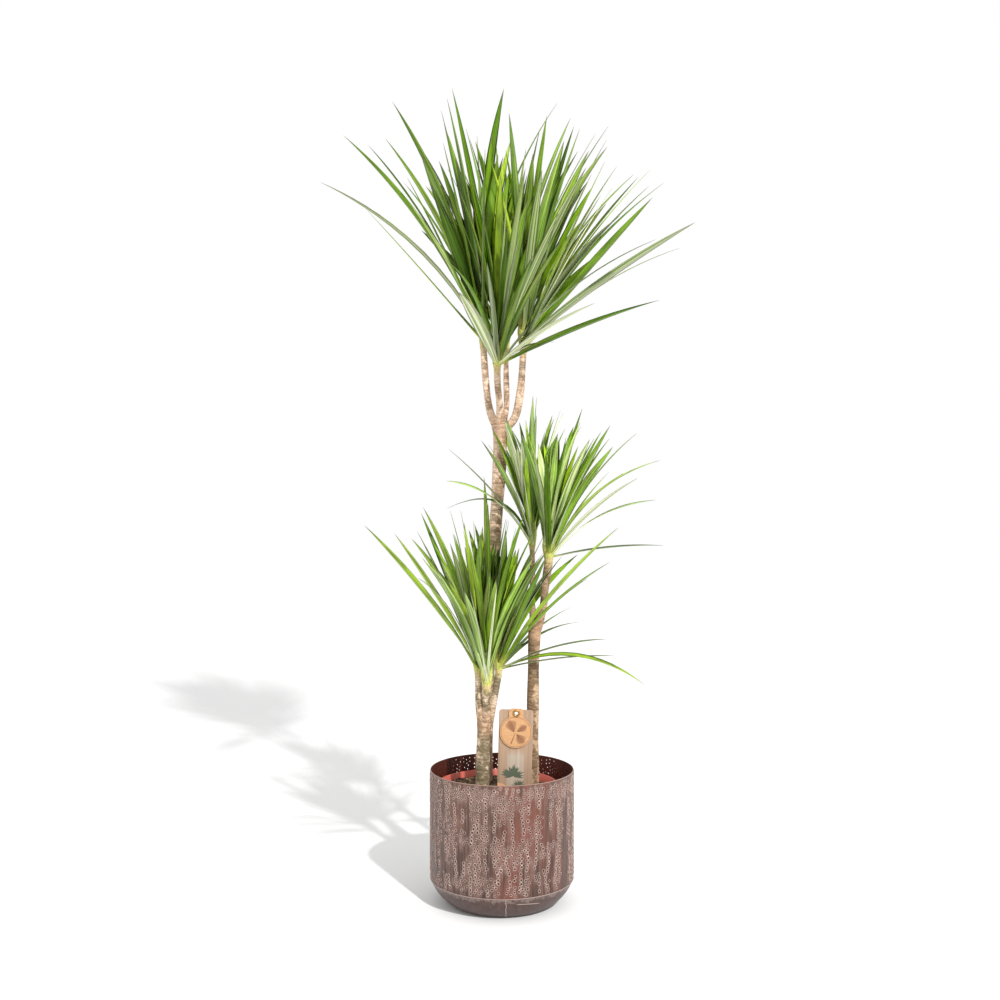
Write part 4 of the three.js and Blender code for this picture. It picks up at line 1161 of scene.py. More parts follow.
class Spots:
    """Points on the flat sheet, with a quick test for what lies near."""

    def __init__(self, cell=8.0):
        self.cell, self.cells, self.all = cell, {}, []

    def key(self, u, v):
        return int(u // self.cell), int(v // self.cell)

    def near(self, u, v, distance):
        """The spots within this distance, which is less than a cell."""
        cu, cv = self.key(u, v)
        cells = [self.cells.get((cu + i, cv + j), ()) for i in (-1, 0, 1) for j in (-1, 0, 1)]
        return [p for cell in cells for p in cell if math.dist(p[:2], (u, v)) < distance * p[2]]

    def add(self, u, v, size):
        self.all.append((u, v, size))
        self.cells.setdefault(self.key(u, v), []).append((u, v, size))


def punch_drips(rng):
    """Drips of holes that run down the wall and swell to clusters here and there."""
    spots = Spots()

    def punch(u, v, size):
        room = BARE_EDGE < u < ROUND - BARE_EDGE and BARE_EDGE < v < WALL_HEIGHT - BARE_EDGE
        if room and not spots.near(u, v, SPACING):
            spots.add(u, v, size)

    for k in range(DRIPS):
        home = (k + rng.uniform(*DRIP_ASIDE)) * ROUND / DRIPS
        u, v = home, WALL_HEIGHT - BARE_EDGE - rng.uniform(0, DRIP_DOWN)
        swell = rng.uniform(0, 2 * math.pi)
        while v > BARE_EDGE:
            lean = rng.gauss(0, DRIP_LEAN)
            for _ in range(rng.randint(*DRIP_RUN)):
                u += lean + rng.uniform(-DRIP_WANDER, DRIP_WANDER) + (home - u) * DRIP_PULL
                near_top = v > WALL_HEIGHT - TOP_SWELL["within"]
                bulge = math.sin(v / DRIP_SWELL + swell) + TOP_SWELL["more"] * near_top
                across = 1 + (bulge > TWO_ACROSS) + (bulge > THREE_ACROSS)
                size = rng.uniform(*HOLE_SPREAD) - CROWD_SHRINK * (across - 1)
                for aside, above in DRIP_ROWS[across]:
                    shift_aside = rng.uniform(-HOLE_SHIFT, HOLE_SHIFT)
                    shift_above = rng.uniform(-HOLE_SHIFT, HOLE_SHIFT)
                    punch(u + aside + shift_aside, v + above + shift_above, size)
                v -= rng.uniform(*DRIP_STEP)
            v -= rng.choice(DRIP_GAPS) * rng.uniform(*GAP_SPREAD)
    return spots


spots = punch_drips(random.Random(23))
print("punched holes:", len(spots.all))

# %% [markdown]
# The triangulation gets the hole outlines as fixed edges, the collar rings as loose points and a
# coarse grid elsewhere, so that the cylinder stays round. Triangles inside a hole are dropped.
# The inner face of the sheet is laid out in the same way, without the collars. The outlines of
# the holes are the first points of both, so their two rims can be joined by number.

# %% The flat sheet
GRID_U, GRID_V = 132, 32
CROWDED = 3.0
CLEAR_OF_HOLES = 3.7
JUST_INSIDE = 0.96  # of a hole's radius
ON_EDGE = 1e-3


def around(x, y, radius, angle):
    """The point at this angle on a circle round a place."""
    return x + radius * math.cos(angle), y + radius * math.sin(angle)


def hole_outlines(spots):
    count = HOLE["sides"]
    points, edges = [], []
    for u, v, size in spots.all:
        start = len(points)
        for k, angle in enumerate(turns(count)):
            points.append(around(u, v, HOLE["radius"] * size, angle))
            edges.append((start + k, start + (k + 1) % count))
    return points, edges


def collar_points(spots):
    """Rings of points round each hole, left out where they would crowd another hole."""
    points, values = [], []
    for u, v, size in spots.all:
        for ring in COLLAR:
            for angle in turns(HOLE["sides"], 0.5):
                x, y = around(u, v, ring["radius"] * size, angle)
                if len(spots.near(x, y, CROWDED)) <= (ring["radius"] < CROWDED):
                    points.append((x, y))
                    values.append((ring["lift"], ring["tint"]))
    return points, values


def grid_points(spots):
    points = []
    for i in range(GRID_U + 1):
        for j in range(GRID_V + 1):
            u, v = ROUND * i / GRID_U, WALL_HEIGHT * j / GRID_V
            inside = 0 < i < GRID_U and 0 < j < GRID_V
            if not (inside and spots.near(u, v, CLEAR_OF_HOLES)):
                points.append((u, v))
    return points


def laid_out(spots, with_collars):
    """Points, their lift and tint, the triangles and the hole rims of one face of the sheet."""
    points, edges = hole_outlines(spots)
    values = [(HOLE["lift"], HOLE["tint"]) if with_collars else (0.0, 0.0)] * len(points)
    if with_collars:
        ring, ring_values = collar_points(spots)
        points += ring
        values += ring_values
    grid = grid_points(spots)
    points += grid
    values += [(0.0, 0.0)] * len(grid)
    made = delaunay_2d_cdt([Vector(p) for p in points], edges, [], 0, 1e-5, True)
    first = {origin: i for i, origins in enumerate(made[3]) for origin in origins}
    place = np.array([tuple(p) for p in made[0]])
    value = np.array([values[o[0]] if o else (0.0, 0.0) for o in made[3]])
    middles = [(face, place[list(face)].mean(0)) for face in made[2]]
    hole = HOLE["radius"] * JUST_INSIDE
    faces = [tuple(face) for face, middle in middles if not spots.near(*middle, hole)]
    rims = [(first[a], first[b]) for a, b in edges]
    return place, value, faces, rims


outer_flat, outer_value, outer_faces, outer_rims = laid_out(spots, True)
inner_flat, _, inner_faces, inner_rims = laid_out(spots, False)
print("sheet:", len(outer_faces), "triangles outside,", len(inner_faces), "inside")

# %% [markdown]
# The weathering follows the holes: pale mineral patina gathers round each drip and runs down
# below it. A blurred map of the holes, smeared downwards, gives each vertex its share of patina.

# %% Patina round the holes
CELL = 2.0
SMEAR = {"across": 4.2, "up": 5.0, "down": 12.0, "cells": 9}


def patina_map(spots):
    wide, tall = int(ROUND / CELL) + 1, int(WALL_HEIGHT / CELL) + 1
    heat = np.zeros((tall, wide))
    for u, v, size in spots.all:
        heat[int(v / CELL), int(u / CELL)] += size
    cells = SMEAR["cells"]
    reach = np.arange(-cells, cells + 1) * CELL
    across = np.exp(-((reach / SMEAR["across"]) ** 2))
    down = np.where(reach <= 0, np.exp(reach / SMEAR["down"]), np.exp(-((reach / SMEAR["up"]) ** 2)))
    padded = np.hstack([heat[:, -cells:], heat, heat[:, :cells]])
    blurred = np.array([np.convolve(row, across, "same")[cells:-cells] for row in padded])
    smeared = np.array([np.convolve(column, down, "same") for column in blurred.T]).T
    return smeared / np.percentile(smeared, 90)


def sampled(patina, place):
    rows = np.clip((place[:, 1] / CELL).astype(int), 0, patina.shape[0] - 1)
    columns = np.clip((place[:, 0] / CELL).astype(int), 0, patina.shape[1] - 1)
    return patina[rows, columns]


outer_patina = sampled(patina_map(spots), outer_flat)
print("patina from", round(outer_patina.min(), 2), "to", round(outer_patina.max(), 2))


# %% [markdown]
# A metal worker rolls the sheet and joins its ends. So does this step: the length becomes the
# angle, and the far end is sewn to the near end at the back. The outer and inner face are joined
# along both edges and round every hole, which gives the metal its thickness.

# %% Rolling the sheet and closing its edges
def rolled(place, radius):
    """Flat places on a cylinder; the sheet's two ends meet at the back."""
    angle = math.pi / 2 + place[:, 0] / PLANTER["radius"]
    height = PLANTER["seam"] + place[:, 1]
    return np.stack([np.cos(angle) * radius, np.sin(angle) * radius, height], axis=1)


def closed_seam(place, faces):
    """The faces, with the far end of the sheet sewn to its near end."""
    near = {round(v, 3): i for i, (u, v) in enumerate(place) if u < ON_EDGE}
    same = list(range(len(place)))
    for i, (u, v) in enumerate(place):
        if u > ROUND - ON_EDGE:
            same[i] = near[round(v, 3)]
    return [tuple(same[i] for i in face) for face in faces]


def rim_of(place, height):
    """The points along one end of the wall, in order round it."""
    there = [abs(v - height) < ON_EDGE and u < ROUND - ON_EDGE for u, v in place]
    on = [i for i, is_there in enumerate(there) if is_there]
    return sorted(on, key=lambda i: place[i, 0])


def join_rims(rings, faces, start):
    for one, other in rings:
        count = len(one)
        for k in range(count):
            n = (k + 1) % count
            faces.append((one[k], one[n], other[n] + start, other[k] + start))


outer = rolled(outer_flat, PLANTER["radius"] + outer_value[:, 0])
inner = rolled(inner_flat, np.full(len(inner_flat), PLANTER["radius"] - PLANTER["sheet"]))
start = len(outer)
wall_faces = closed_seam(outer_flat, outer_faces)
wall_faces += [tuple(i + start for i in face[::-1]) for face in closed_seam(inner_flat, inner_faces)]
wall_faces += [(b, a, c + start, d + start) for (a, b), (c, d) in zip(outer_rims, inner_rims)]
ends = [(rim_of(outer_flat, h), rim_of(inner_flat, h)) for h in (0.0, WALL_HEIGHT)]
join_rims([(ends[0][0][::-1], ends[0][1][::-1]), ends[1]], wall_faces, start)
wall_points = np.vstack([outer, inner])

# %% [markdown]
# ## Weathered metal
# The lacquer is a warm brown, darker towards the bottom. A streaky copper-red band down the front
# and the back is a painted reflection, and the patina is kept thin over it. Over the lacquer lies
# a grey-beige patina that follows the stored map, broken up by streaks that noise stretches down
# the wall. The collars catch the light and are palest, and the top edge is painted pale as a
# painted highlight. The inside is painted a plain dark brown, a painted shade for the dim inside.


# %% Planter materials
def planter_material():
    metal = Recipe("punched_planter")
    where = metal.place()
    x, _, z = metal.parts(where)
    collar, weathered, inside = metal.stored("wall")
    streaks = metal.noise(metal.stretched(where, 1, 1, 0.06), 280, 5, 0.6)
    runs = metal.noise(metal.stretched(where, 1, 1, 0.12), 60, 3)
    blot = metal.noise(metal.stretched(where, 1, 1, 0.4), 95, 5, 0.7)
    broad = metal.noise(metal.stretched(where, 1, 1, 0.3), 15, 3)
    fine = metal.noise(where, 700, 3, 0.7)
    # A streaky copper-red band down the front and the back, near the middle, is a painted reflection; the
    # patina is kept thin over it.
    middle = metal.math("ABSOLUTE", metal.math("SUBTRACT", x, 0.02))
    painted_copper_reflection = metal.step(metal.scaled(middle, -3.2, broad), 0.32, 0.46)
    painted_copper_reflection = metal.times(painted_copper_reflection, metal.step(runs, 0.36, 0.52))
    dark = metal.mix(metal.step(z, 0.07, 0.14), srgb(52, 31, 25), srgb(62, 39, 28))
    lacquer = metal.mix(metal.step(streaks, 0.38, 0.62), dark, srgb(89, 58, 46))
    lacquer = metal.over(lacquer, srgb(112, 56, 40), painted_copper_reflection, 0.65)
    cover = metal.scaled(streaks, 1.6, -1.24)
    cover = metal.plus(cover, metal.times(middle, 2.0))
    cover = metal.plus(cover, metal.times(metal.step(z, 0.19, 0.235), 0.25))
    cover = metal.plus(cover, metal.scaled(blot, 1.5, -0.6))
    cover = metal.plus(cover, metal.times(weathered, 0.9))
    cover = metal.plus(cover, metal.scaled(fine, 0.8, -0.42), clamp=True)
    grey = metal.mix(metal.step(fine, 0.35, 0.7), srgb(106, 78, 69), srgb(161, 133, 122))
    colour = metal.over(lacquer, grey, cover, 0.9)
    colour = metal.over(colour, srgb(194, 173, 163), metal.step(collar, 0.4, 0.9), 0.9)
    # The top edge of the wall is painted pale: a painted highlight along the rim.
    edge = metal.step(z, PLANTER["height"] * MM - 0.0012, PLANTER["height"] * MM - 0.0004)
    colour = metal.mix(edge, colour, srgb(160, 128, 114))
    # The inside of the wall is painted dark brown: painted shade inside the planter.
    colour = metal.mix(inside, colour, srgb(76, 30, 18))
    rough = metal.scaled(cover, 0.25, 0.4)
    return metal.finish(colour, rough, height=fine, depth=0.0003, gloss=0.55)


def mark_creases(mesh, sharpest=35):
    """Edges that turn sharply stay crisp under smooth shading."""
    form = bmesh.new()
    form.from_mesh(mesh)
    for edge in form.edges:
        if len(edge.link_faces) == 2:
            edge.smooth = edge.calc_face_angle(0) < math.radians(sharpest)
    form.to_mesh(mesh)
    form.free()


outer_wall = np.column_stack([outer_value[:, 1], outer_patina, np.zeros(len(outer))])
inner_wall = np.tile((0.0, 0.0, 1.0), (len(inner), 1))
wall_values = np.vstack([outer_wall, inner_wall])
wall = new_piece(
    "planter_wall_punched", wall_points, wall_faces, planter_material(), "planter_metal", ["planter_wall"]
)
store(wall.data, "wall", wall_values)
mark_creases(wall.data, 50)

# %% [markdown]
# ## Turned pieces
# The pan under the wall and the grower's pot are round, so each is a profile turned about the
# upright axis. A profile's corners are rounded a little, because sheet and moulded plastic never
# have a perfectly sharp edge, and a sharp one would catch no light.


# %% Turning a profile
ON_AXIS = 1e-6  # a radius below this is a point on the axis
ROUND_SIDES = 128


def turned(profile, sides=ROUND_SIDES, centre=(0.0, 0.0)):
    """Points and faces of a closed profile of (radius, height) turned round the upright."""
    points, starts = [], []
    for radius, height in profile:
        starts.append(len(points))
        if radius < ON_AXIS:
            points.append((*centre, height))
        else:
            points.extend((*around(*centre, radius, angle), height) for angle in turns(sides))
    faces = []
    for i, (radius, _) in enumerate(profile):
        j = (i + 1) % len(profile)
        other = profile[j][0]
        if radius < ON_AXIS and other < ON_AXIS:
            continue
        for k in range(sides):
            n = (k + 1) % sides
            if radius < ON_AXIS:
                faces.append((starts[i], starts[j] + k, starts[j] + n))
            elif other < ON_AXIS:
                faces.append((starts[i] + k, starts[j], starts[i] + n))
            else:
                faces.append((starts[i] + k, starts[j] + k, starts[j] + n, starts[i] + n))
    return points, [face[::-1] for face in faces]


def turned_piece(name, profile, material, replaces=(), centre=(0.0, 0.0)):
    mesh = mesh_of(name, *turned(profile, ROUND_SIDES, centre))
    piece = dress(name, mesh, material, replaces)
    form = bmesh.new()
    form.from_mesh(mesh)
    bmesh.ops.recalc_face_normals(form, faces=form.faces)
    form.to_mesh(mesh)
    form.free()
    mark_creases(mesh)
    return piece


# %% [markdown]
# The pan is pressed from one sheet: a flat foot, a bulged slope, a bead where it meets the wall,
# and a lip inside the wall. It is round, so a turned profile gives its form. The material adds what
# isn't round: grey spots that run down unevenly from the bead, and one old scratch.

# %% The pan
AIR = 0.3  # left between pieces that touch


def pan_slope(steps):
    """Half way between a straight slope and a quarter of an ellipse."""
    slope = []
    for i in range(steps + 1):
        share = i / steps
        angle = share * math.pi / 2
        rise = PLANTER["radius"] - PLANTER["foot"]
        across = (rise * math.sin(angle) + rise * share) / 2
        up = PLANTER["seam"] * (1 - math.cos(angle) + share) / 2
        slope.append((PLANTER["foot"] + across, up))
    return slope


def pan_profile():
    sheet, seam = PLANTER["sheet"], PLANTER["seam"]
    slope = pan_slope(16)
    lap = PLANTER["radius"] - sheet - AIR
    slope[-1] = (PLANTER["radius"], seam - 1.4)
    bead = [(PLANTER["radius"] + 0.5, seam - 0.9), (PLANTER["radius"] + 0.3, seam - 0.2)]
    inner = [(r - sheet * 1.1, z + sheet * 0.9) for r, z in slope[:-1]][::-1]
    top = [(lap, seam - 0.3), (lap, seam + PLANTER["lap"]), (lap - sheet, seam + PLANTER["lap"])]
    return [(0, 0)] + slope + bead + top + [(lap - sheet, seam - 1.0)] + inner + [(0, sheet)]


def pan_material():
    pan = Recipe("planter_pan")
    where = pan.place()
    x, y, z = pan.parts(where)
    streaks = pan.noise(pan.stretched(where, 1, 1, 0.3), 120, 4)
    fine = pan.noise(where, 600, 3, 0.7)
    blots = pan.noise(where, 260, 2)
    lacquer = pan.mix(pan.step(streaks, 0.35, 0.7), srgb(70, 51, 47), srgb(86, 64, 58))
    ragged = pan.scaled(streaks, 0.03, 0.0225)
    band = pan.step(pan.math("SUBTRACT", z, ragged), -0.002, 0.002)
    spots_there = pan.times(band, pan.step(blots, 0.36, 0.5))
    colour = pan.over(lacquer, srgb(130, 112, 105), spots_there, 0.75)
    bead = pan.step(z, (PLANTER["seam"] - 1.3) * MM, (PLANTER["seam"] - 0.9) * MM)
    colour = pan.mix(bead, colour, srgb(158, 138, 130))
    # The lowest few millimetres of the pan are painted near black: painted shade where it meets the floor.
    foot = pan.less(pan.step(z, 0.0012, 0.0036))
    colour = pan.mix(foot, colour, srgb(34, 26, 26))
    curve = pan.scaled(pan.times(x, x), -1.1, 0.0335)
    off = pan.math("ABSOLUTE", pan.math("SUBTRACT", z, curve))
    line = pan.less(pan.step(off, 0.0003, 0.0009))
    there = pan.times(pan.step(x, 0.022, 0.028), pan.less(pan.step(x, 0.058, 0.066)))
    front = pan.math("LESS_THAN", y, 0.0)
    scratch = pan.times(pan.times(line, there), front)
    colour = pan.mix(scratch, colour, srgb(178, 158, 150))
    return pan.finish(colour, pan.scaled(fine, 0.25, 0.3), height=fine, depth=0.0002, gloss=0.4)


PAN = pan_material()
turned_piece("planter_pan_turned", pan_profile(), PAN, ["planter_base"])

# %% [markdown]
# The pan is closed by a short weld that runs down its front, a little right of the middle.

# %% The weld on the pan
WELD = {"x": 6.5, "width": 1.5, "proud": 0.55}


def weld_strip():
    slope = pan_slope(16)[1:]
    points, faces = [], []
    for i, (radius, height) in enumerate(slope):
        wander = 0.5 * math.sin(i * 1.3)
        for offset, proud in ((-1, -0.2), (-0.4, 1), (0.4, 1), (1, -0.2)):
            x = WELD["x"] + wander + offset * WELD["width"] / 2
            reach = radius + proud * WELD["proud"]
            points.append((x, -math.sqrt(reach**2 - x**2), height))
    for i in range(len(slope) - 1):
        for k in range(3):
            a = i * 4 + k
            faces.append((a, a + 1, a + 5, a + 4))
    return points, faces


weld = Recipe("weld_bead")
weld_grain = weld.noise(weld.place(), 900, 3)
weld_colour = weld.mix(weld_grain, srgb(150, 128, 120), srgb(186, 166, 158))
new_piece("pan_weld", *weld_strip(), weld.finish(weld_colour, 0.4, 0.4), "planter_pan")

# %% [markdown]
# ## The grower's pot
# A thin pot of terracotta-coloured polypropylene, with a thick rolled rim. It is turned too, and
# its six drain holes are cut by a boolean, which is quick for so few.

# %% Grower's pot
GROWER = {"x": -8.5, "top": 207.0, "rim": 105.0, "rim_height": 14.0, "shoulder": 101.0}
GROWER.update({"base": 76.0, "wall": 1.5, "bottom": PLANTER["sheet"] + AIR})
DRAIN = {"holes": 6, "ring": 50.0, "radius": 7.0}


def grower_radius(z):
    share = (z - GROWER["bottom"]) / (GROWER["top"] - GROWER["bottom"])
    return GROWER["base"] + (GROWER["shoulder"] - GROWER["base"]) * share


def grower_profile():
    top, rim, wall, bottom = GROWER["top"], GROWER["rim"], GROWER["wall"], GROWER["bottom"]
    under = top - GROWER["rim_height"]
    inside = grower_radius(under) - wall + 0.6
    return [
        (0, bottom),
        (grower_radius(bottom) - 3, bottom),
        (grower_radius(bottom) - 0.8, bottom + 0.8),
        (grower_radius(bottom + 3), bottom + 3),
        (grower_radius(under - 8), under - 8),
        (grower_radius(under - 4), under - 4),
        (rim - wall, under),
        (rim - 0.4, under + 0.4),
        (rim, under + 1.2),
        (rim, top - 1.4),
        (rim - 0.35, top - 0.45),
        (rim - 1.1, top),
        (rim - wall - 0.6, top - 0.1),
        (rim - wall - 1.1, top - 0.7),
        (inside + 0.9, under + 0.6),
        (inside, under - 3),
        (grower_radius(bottom + 6) - wall, bottom + wall + 4),
        (grower_radius(bottom) - wall - 2, bottom + wall),
        (0, bottom + wall),
    ]


def grower_material():
    plastic = Recipe("terracotta_plastic")
    where = plastic.place()
    bloom = plastic.noise(where, 26, 4)
    fine = plastic.noise(where, 900, 2)
    dust = plastic.noise(plastic.stretched(where, 1, 1, 0.4), 90, 4)
    colour = plastic.mix(bloom, srgb(180, 80, 65), srgb(199, 98, 81))
    colour = plastic.over(colour, srgb(176, 120, 98), plastic.step(dust, 0.56, 0.74), 0.35)
    # Below 178 to 190 mm the pot is painted near-black red-brown: painted shade deep inside the planter,
    # seen through its holes.
    _, _, z = plastic.parts(where)
    painted_shade_low = plastic.less(plastic.step(z, 0.178, 0.19))
    colour = plastic.over(colour, srgb(62, 30, 24), painted_shade_low, 0.8)
    return plastic.finish(colour, plastic.scaled(bloom, 0.2, 0.42), height=fine, depth=0.0001)


grower = turned_piece(
    "grower_pot_turned", grower_profile(), grower_material(),
    ["nursery_pot"], (GROWER["x"], 0.0),
)


def cut_drains(pot):
    cutter = bmesh.new()
    for angle in turns(DRAIN["holes"]):
        x, y = around(GROWER["x"], 0, DRAIN["ring"], angle)
        at = (x * MM, y * MM, GROWER["bottom"] * MM)
        radius = DRAIN["radius"] * MM
        bmesh.ops.create_cone(
            cutter, cap_ends=True, segments=24, radius1=radius, radius2=radius,
            depth=0.01, matrix=Matrix.Translation(at),
        )
    mesh = bpy.data.meshes.new("drain_cutter")
    cutter.to_mesh(mesh)
    cutter.free()
    plugs = linked("drain_cutter", mesh)
    cut = pot.modifiers.new("drains", "BOOLEAN")
    cut.object = plugs
    cut.solver = "EXACT"
    finished = applied(pot)
    pot.modifiers.clear()
    pot.data = finished
    bpy.data.objects.remove(plugs)


cut_drains(grower)
mark_creases(grower.data)
print("grower's pot faces:", len(grower.data.polygons))

# %% [markdown]
# ## Potting soil
# Dark peat mix with bark crumbs. The bed is a turned solid whose top is pushed up and down by
# a few crossing waves, and 1400 loose crumbs and 170 bark chips lie on it. Only a crescent of it
# shows behind the planter's rim, but from above the whole bed is seen.

# %% The bed of soil
SOIL = {"top": 198.0, "mound": 2.0, "rings": 40, "sides": 150}
MOUND_REACH = 80
LUMPS = 0.8
BRINK = {"drop": 2.0, "width": 9}  # how the bed falls off next to the pot


def hills(x, y):
    """A few crossing waves: a cheap stand-in for lumpy ground, the same every time."""
    waves = [(0.11, 0.05, 0.3, 1.3), (-0.07, 0.13, 1.7, 1.0), (0.23, -0.19, 2.9, 0.7)]
    waves += [(0.41, 0.37, 0.8, 0.45), (-0.52, 0.33, 4.1, 0.4), (0.9, 0.2, 5.2, 0.3), (0.3, -1.1, 1.1, 0.3)]
    return sum(size * math.sin(a * x + b * y + shift) for a, b, shift, size in waves)


def soil_top(x, y):
    radius = math.hypot(x, y)
    edge = soil_edge()
    mound = SOIL["mound"] * max(0.0, 1 - (radius / MOUND_REACH) ** 2)
    drop = BRINK["drop"] * max(0.0, (radius - edge + BRINK["width"]) / BRINK["width"])
    return SOIL["top"] + mound - drop + LUMPS * hills(x, y)


def soil_edge():
    under = GROWER["top"] - GROWER["rim_height"]
    return grower_radius(under - 6) - GROWER["wall"] - 0.7


def soil_bed():
    floor = GROWER["bottom"] + GROWER["wall"] + AIR
    edge, sides = soil_edge(), SOIL["sides"]
    points = [(GROWER["x"], 0.0, soil_top(0, 0))]
    for i in range(1, SOIL["rings"] + 1):
        radius = edge * i / SOIL["rings"]
        for angle in turns(sides):
            x, y = around(0, 0, radius, angle)
            points.append((GROWER["x"] + x, y, soil_top(x, y)))
    for radius, z in ((grower_radius(floor + 6) - 2.2, floor + 6), (grower_radius(floor) - 5, floor)):
        points.extend((*around(GROWER["x"], 0, radius, angle), z) for angle in turns(sides))
    faces = [(0, 1 + k, 1 + (k + 1) % sides) for k in range(sides)]
    for i in range(SOIL["rings"] + 1):
        for k in range(sides):
            a, b = 1 + i * sides + k, 1 + i * sides + (k + 1) % sides
            faces.append((a, a + sides, b + sides, b))
    last = 1 + (SOIL["rings"] + 1) * sides
    faces.append(tuple(range(last, last + sides))[::-1])
    return points, faces


def soil_material():
    soil = Recipe("potting_soil")
    where = soil.place()
    coarse = soil.noise(where, 320, 5, 0.7)
    fine = soil.noise(where, 1100, 3, 0.7)
    moss = soil.noise(where, 60, 3)
    stops = [(0.3, srgb(40, 28, 22)), (0.55, srgb(78, 56, 42)), (0.75, srgb(120, 92, 70))]
    colour = soil.ramp(coarse, stops)
    colour = soil.over(colour, srgb(108, 104, 50), soil.step(moss, 0.6, 0.72), 0.4)
    height = soil.plus(coarse, soil.times(fine, 0.5))
    return soil.finish(colour, 0.92, height=height, depth=0.0022)


SOIL_FINISH = soil_material()
new_piece("soil_bed", *soil_bed(), SOIL_FINISH, "potting_soil", ["soil"])

# %% [markdown]
# A crumb is a small ball with its points pushed in and out, and a chip is the same ball flattened
# and stretched. Each lies with its middle just above the bed and has its own random turn. They
# could be instances, but an instance repeats one shape, and real crumbs have no two alike.


# %% Crumbs and bark chips
def lump(rng, size, stretch):
    ball = bmesh.new()
    bmesh.ops.create_icosphere(ball, subdivisions=1, radius=1.0)
    turn = Matrix.Rotation(rng.uniform(0, 6.3), 3, "Z") @ Matrix.Rotation(rng.uniform(-0.5, 0.5), 3, "X")
    points = []
    for vertex in ball.verts:
        p = vertex.co * rng.uniform(0.75, 1.2)
        p = Vector((p.x * stretch[0], p.y * stretch[1], p.z * stretch[2])) * size
        points.append(tuple(turn @ p))
    faces = [tuple(v.index for v in face.verts) for face in ball.faces]
    ball.free()
    return points, faces


def scatter(rng, count, sizes, stretch):
    points, faces, shades = [], [], []
    reach = soil_edge() - 4
    for _ in range(count):
        radius, angle = reach * math.sqrt(rng.random()), rng.uniform(0, 2 * math.pi)
        x, y = radius * math.cos(angle), radius * math.sin(angle)
        size = rng.uniform(*sizes)
        skin, triangles = lump(rng, size, stretch)
        start = len(points)
        shade = rng.random()
        z = soil_top(x, y) + 0.2 * size * stretch[2]
        points.extend((GROWER["x"] + x + p[0], y + p[1], z + p[2]) for p in skin)
        faces.extend(tuple(i + start for i in corners) for corners in triangles)
        shades.extend([(shade, rng.random(), 0)] * len(skin))
    return points, faces, shades


def crumb_material():
    crumb = Recipe("soil_crumbs")
    shade, _, _ = crumb.stored("crumb")
    grain = crumb.noise(crumb.place(), 900, 3)
    stops = [(0.0, srgb(46, 32, 26)), (0.5, srgb(92, 66, 48))]
    stops += [(0.8, srgb(140, 108, 82)), (0.97, srgb(176, 156, 92))]
    colour = crumb.ramp(shade, stops)
    colour = crumb.over(colour, srgb(50, 36, 28), grain, 0.6)
    return crumb.finish(colour, 0.9, height=grain, depth=0.0005)


CRUMB = crumb_material()
rng = random.Random(5)
for name, count, sizes, stretch in (
    ("soil_crumbs", 1400, (0.8, 2.4), (1, 1, 0.8)),
    ("bark_chips", 170, (2.0, 4.6), (1.6, 0.8, 0.35)),
):
    points, faces, shades = scatter(rng, count, sizes, stretch)
    bits = new_piece(name, points, faces, CRUMB, "potting_soil", smooth=False)
    store(bits.data, "crumb", shades)

# %% [markdown]
# ## The label
# A stiff printed card with a round wooden charm, held together by a brass eyelet. The outlines
# are filled flat with their holes left open, given their thickness, and softened by a small
# bevel. The whole label leans one and a half degrees, so it is drawn upright and then turned.

# %% Label sizes and the flat plate helper
LABEL = {"width": 58.5, "height": 194.0, "thick": 1.6, "x": 19.5, "y": -47.0, "bottom": 150.0, "lean": 1.5}
CARD = {"corner": 5.0, "point_in": 12.0, "point_height": 22.0}
CHARM = {"radius": 27.3, "thick": 3.0, "drop": 38.0, "tab_width": 25.0, "tab_corner": 6.0}
EYELET = {"hole": 3.0, "tube": 3.6, "flange": 6.5, "lip": 0.8, "drop": 6.0}
STAND = (
    Matrix.Translation((LABEL["x"] * MM, 0, LABEL["bottom"] * MM))
    @ Matrix.Rotation(math.radians(LABEL["lean"]), 4, "Y")
)


def arc(x, z, radius, start, end, steps):
    """Points on an arc round a place, angles in degrees."""
    angles = [math.radians(start + (end - start) * i / steps) for i in range(steps + 1)]
    return [around(x, z, radius, angle) for angle in angles]


def plate(name, outline, holes, front, thick, material, replaces=(), bevel=0.25):
    """A flat plate drawn in x and z, its front face at y = front, standing with the label."""
    form = bmesh.new()
    edges = []
    for loop in [outline] + holes:
        ring = [form.verts.new((x * MM, front * MM, z * MM)) for x, z in loop]
        edges += [form.edges.new((ring[i - 1], ring[i])) for i in range(len(ring))]
    bmesh.ops.triangle_fill(form, use_beauty=True, edges=edges)
    made = bmesh.ops.extrude_face_region(form, geom=list(form.faces))
    moved = [v for v in made["geom"] if isinstance(v, bmesh.types.BMVert)]
    bmesh.ops.translate(form, vec=(0, thick * MM, 0), verts=moved)
    bmesh.ops.dissolve_limit(form, angle_limit=0.01, verts=form.verts, edges=form.edges)
    if bevel:
        rims = [e for e in form.edges if e.is_manifold and e.calc_face_angle(0) > 0.9]
        bmesh.ops.bevel(form, geom=rims, offset=bevel * MM, segments=2, affect="EDGES", profile=0.6)
    bmesh.ops.triangulate(form, faces=[f for f in form.faces if len(f.verts) > 4])
    bmesh.ops.recalc_face_normals(form, faces=form.faces)
    bmesh.ops.transform(form, matrix=STAND, verts=form.verts)
    mesh = bpy.data.meshes.new(name)
    form.to_mesh(mesh)
    form.free()
    return dress(name, mesh, material, replaces, smooth=False)


# %% [markdown]
# The card is printed with soft upright stripes like pale boards, over a faint grey panel. The
# picture on it is two plain clumps of leaves in grey-green, with no words.


# %% Card material
def upright(recipe):
    """Coordinates in metres that stand with the leaning label."""
    made = recipe.node("ShaderNodeVectorRotate", {"Vector": recipe.place()})
    made.rotation_type = "Y_AXIS"
    made.inputs["Angle"].default_value = -math.radians(LABEL["lean"])
    made.inputs["Center"].default_value = (LABEL["x"] * MM, 0, LABEL["bottom"] * MM)
    return made.outputs[0]


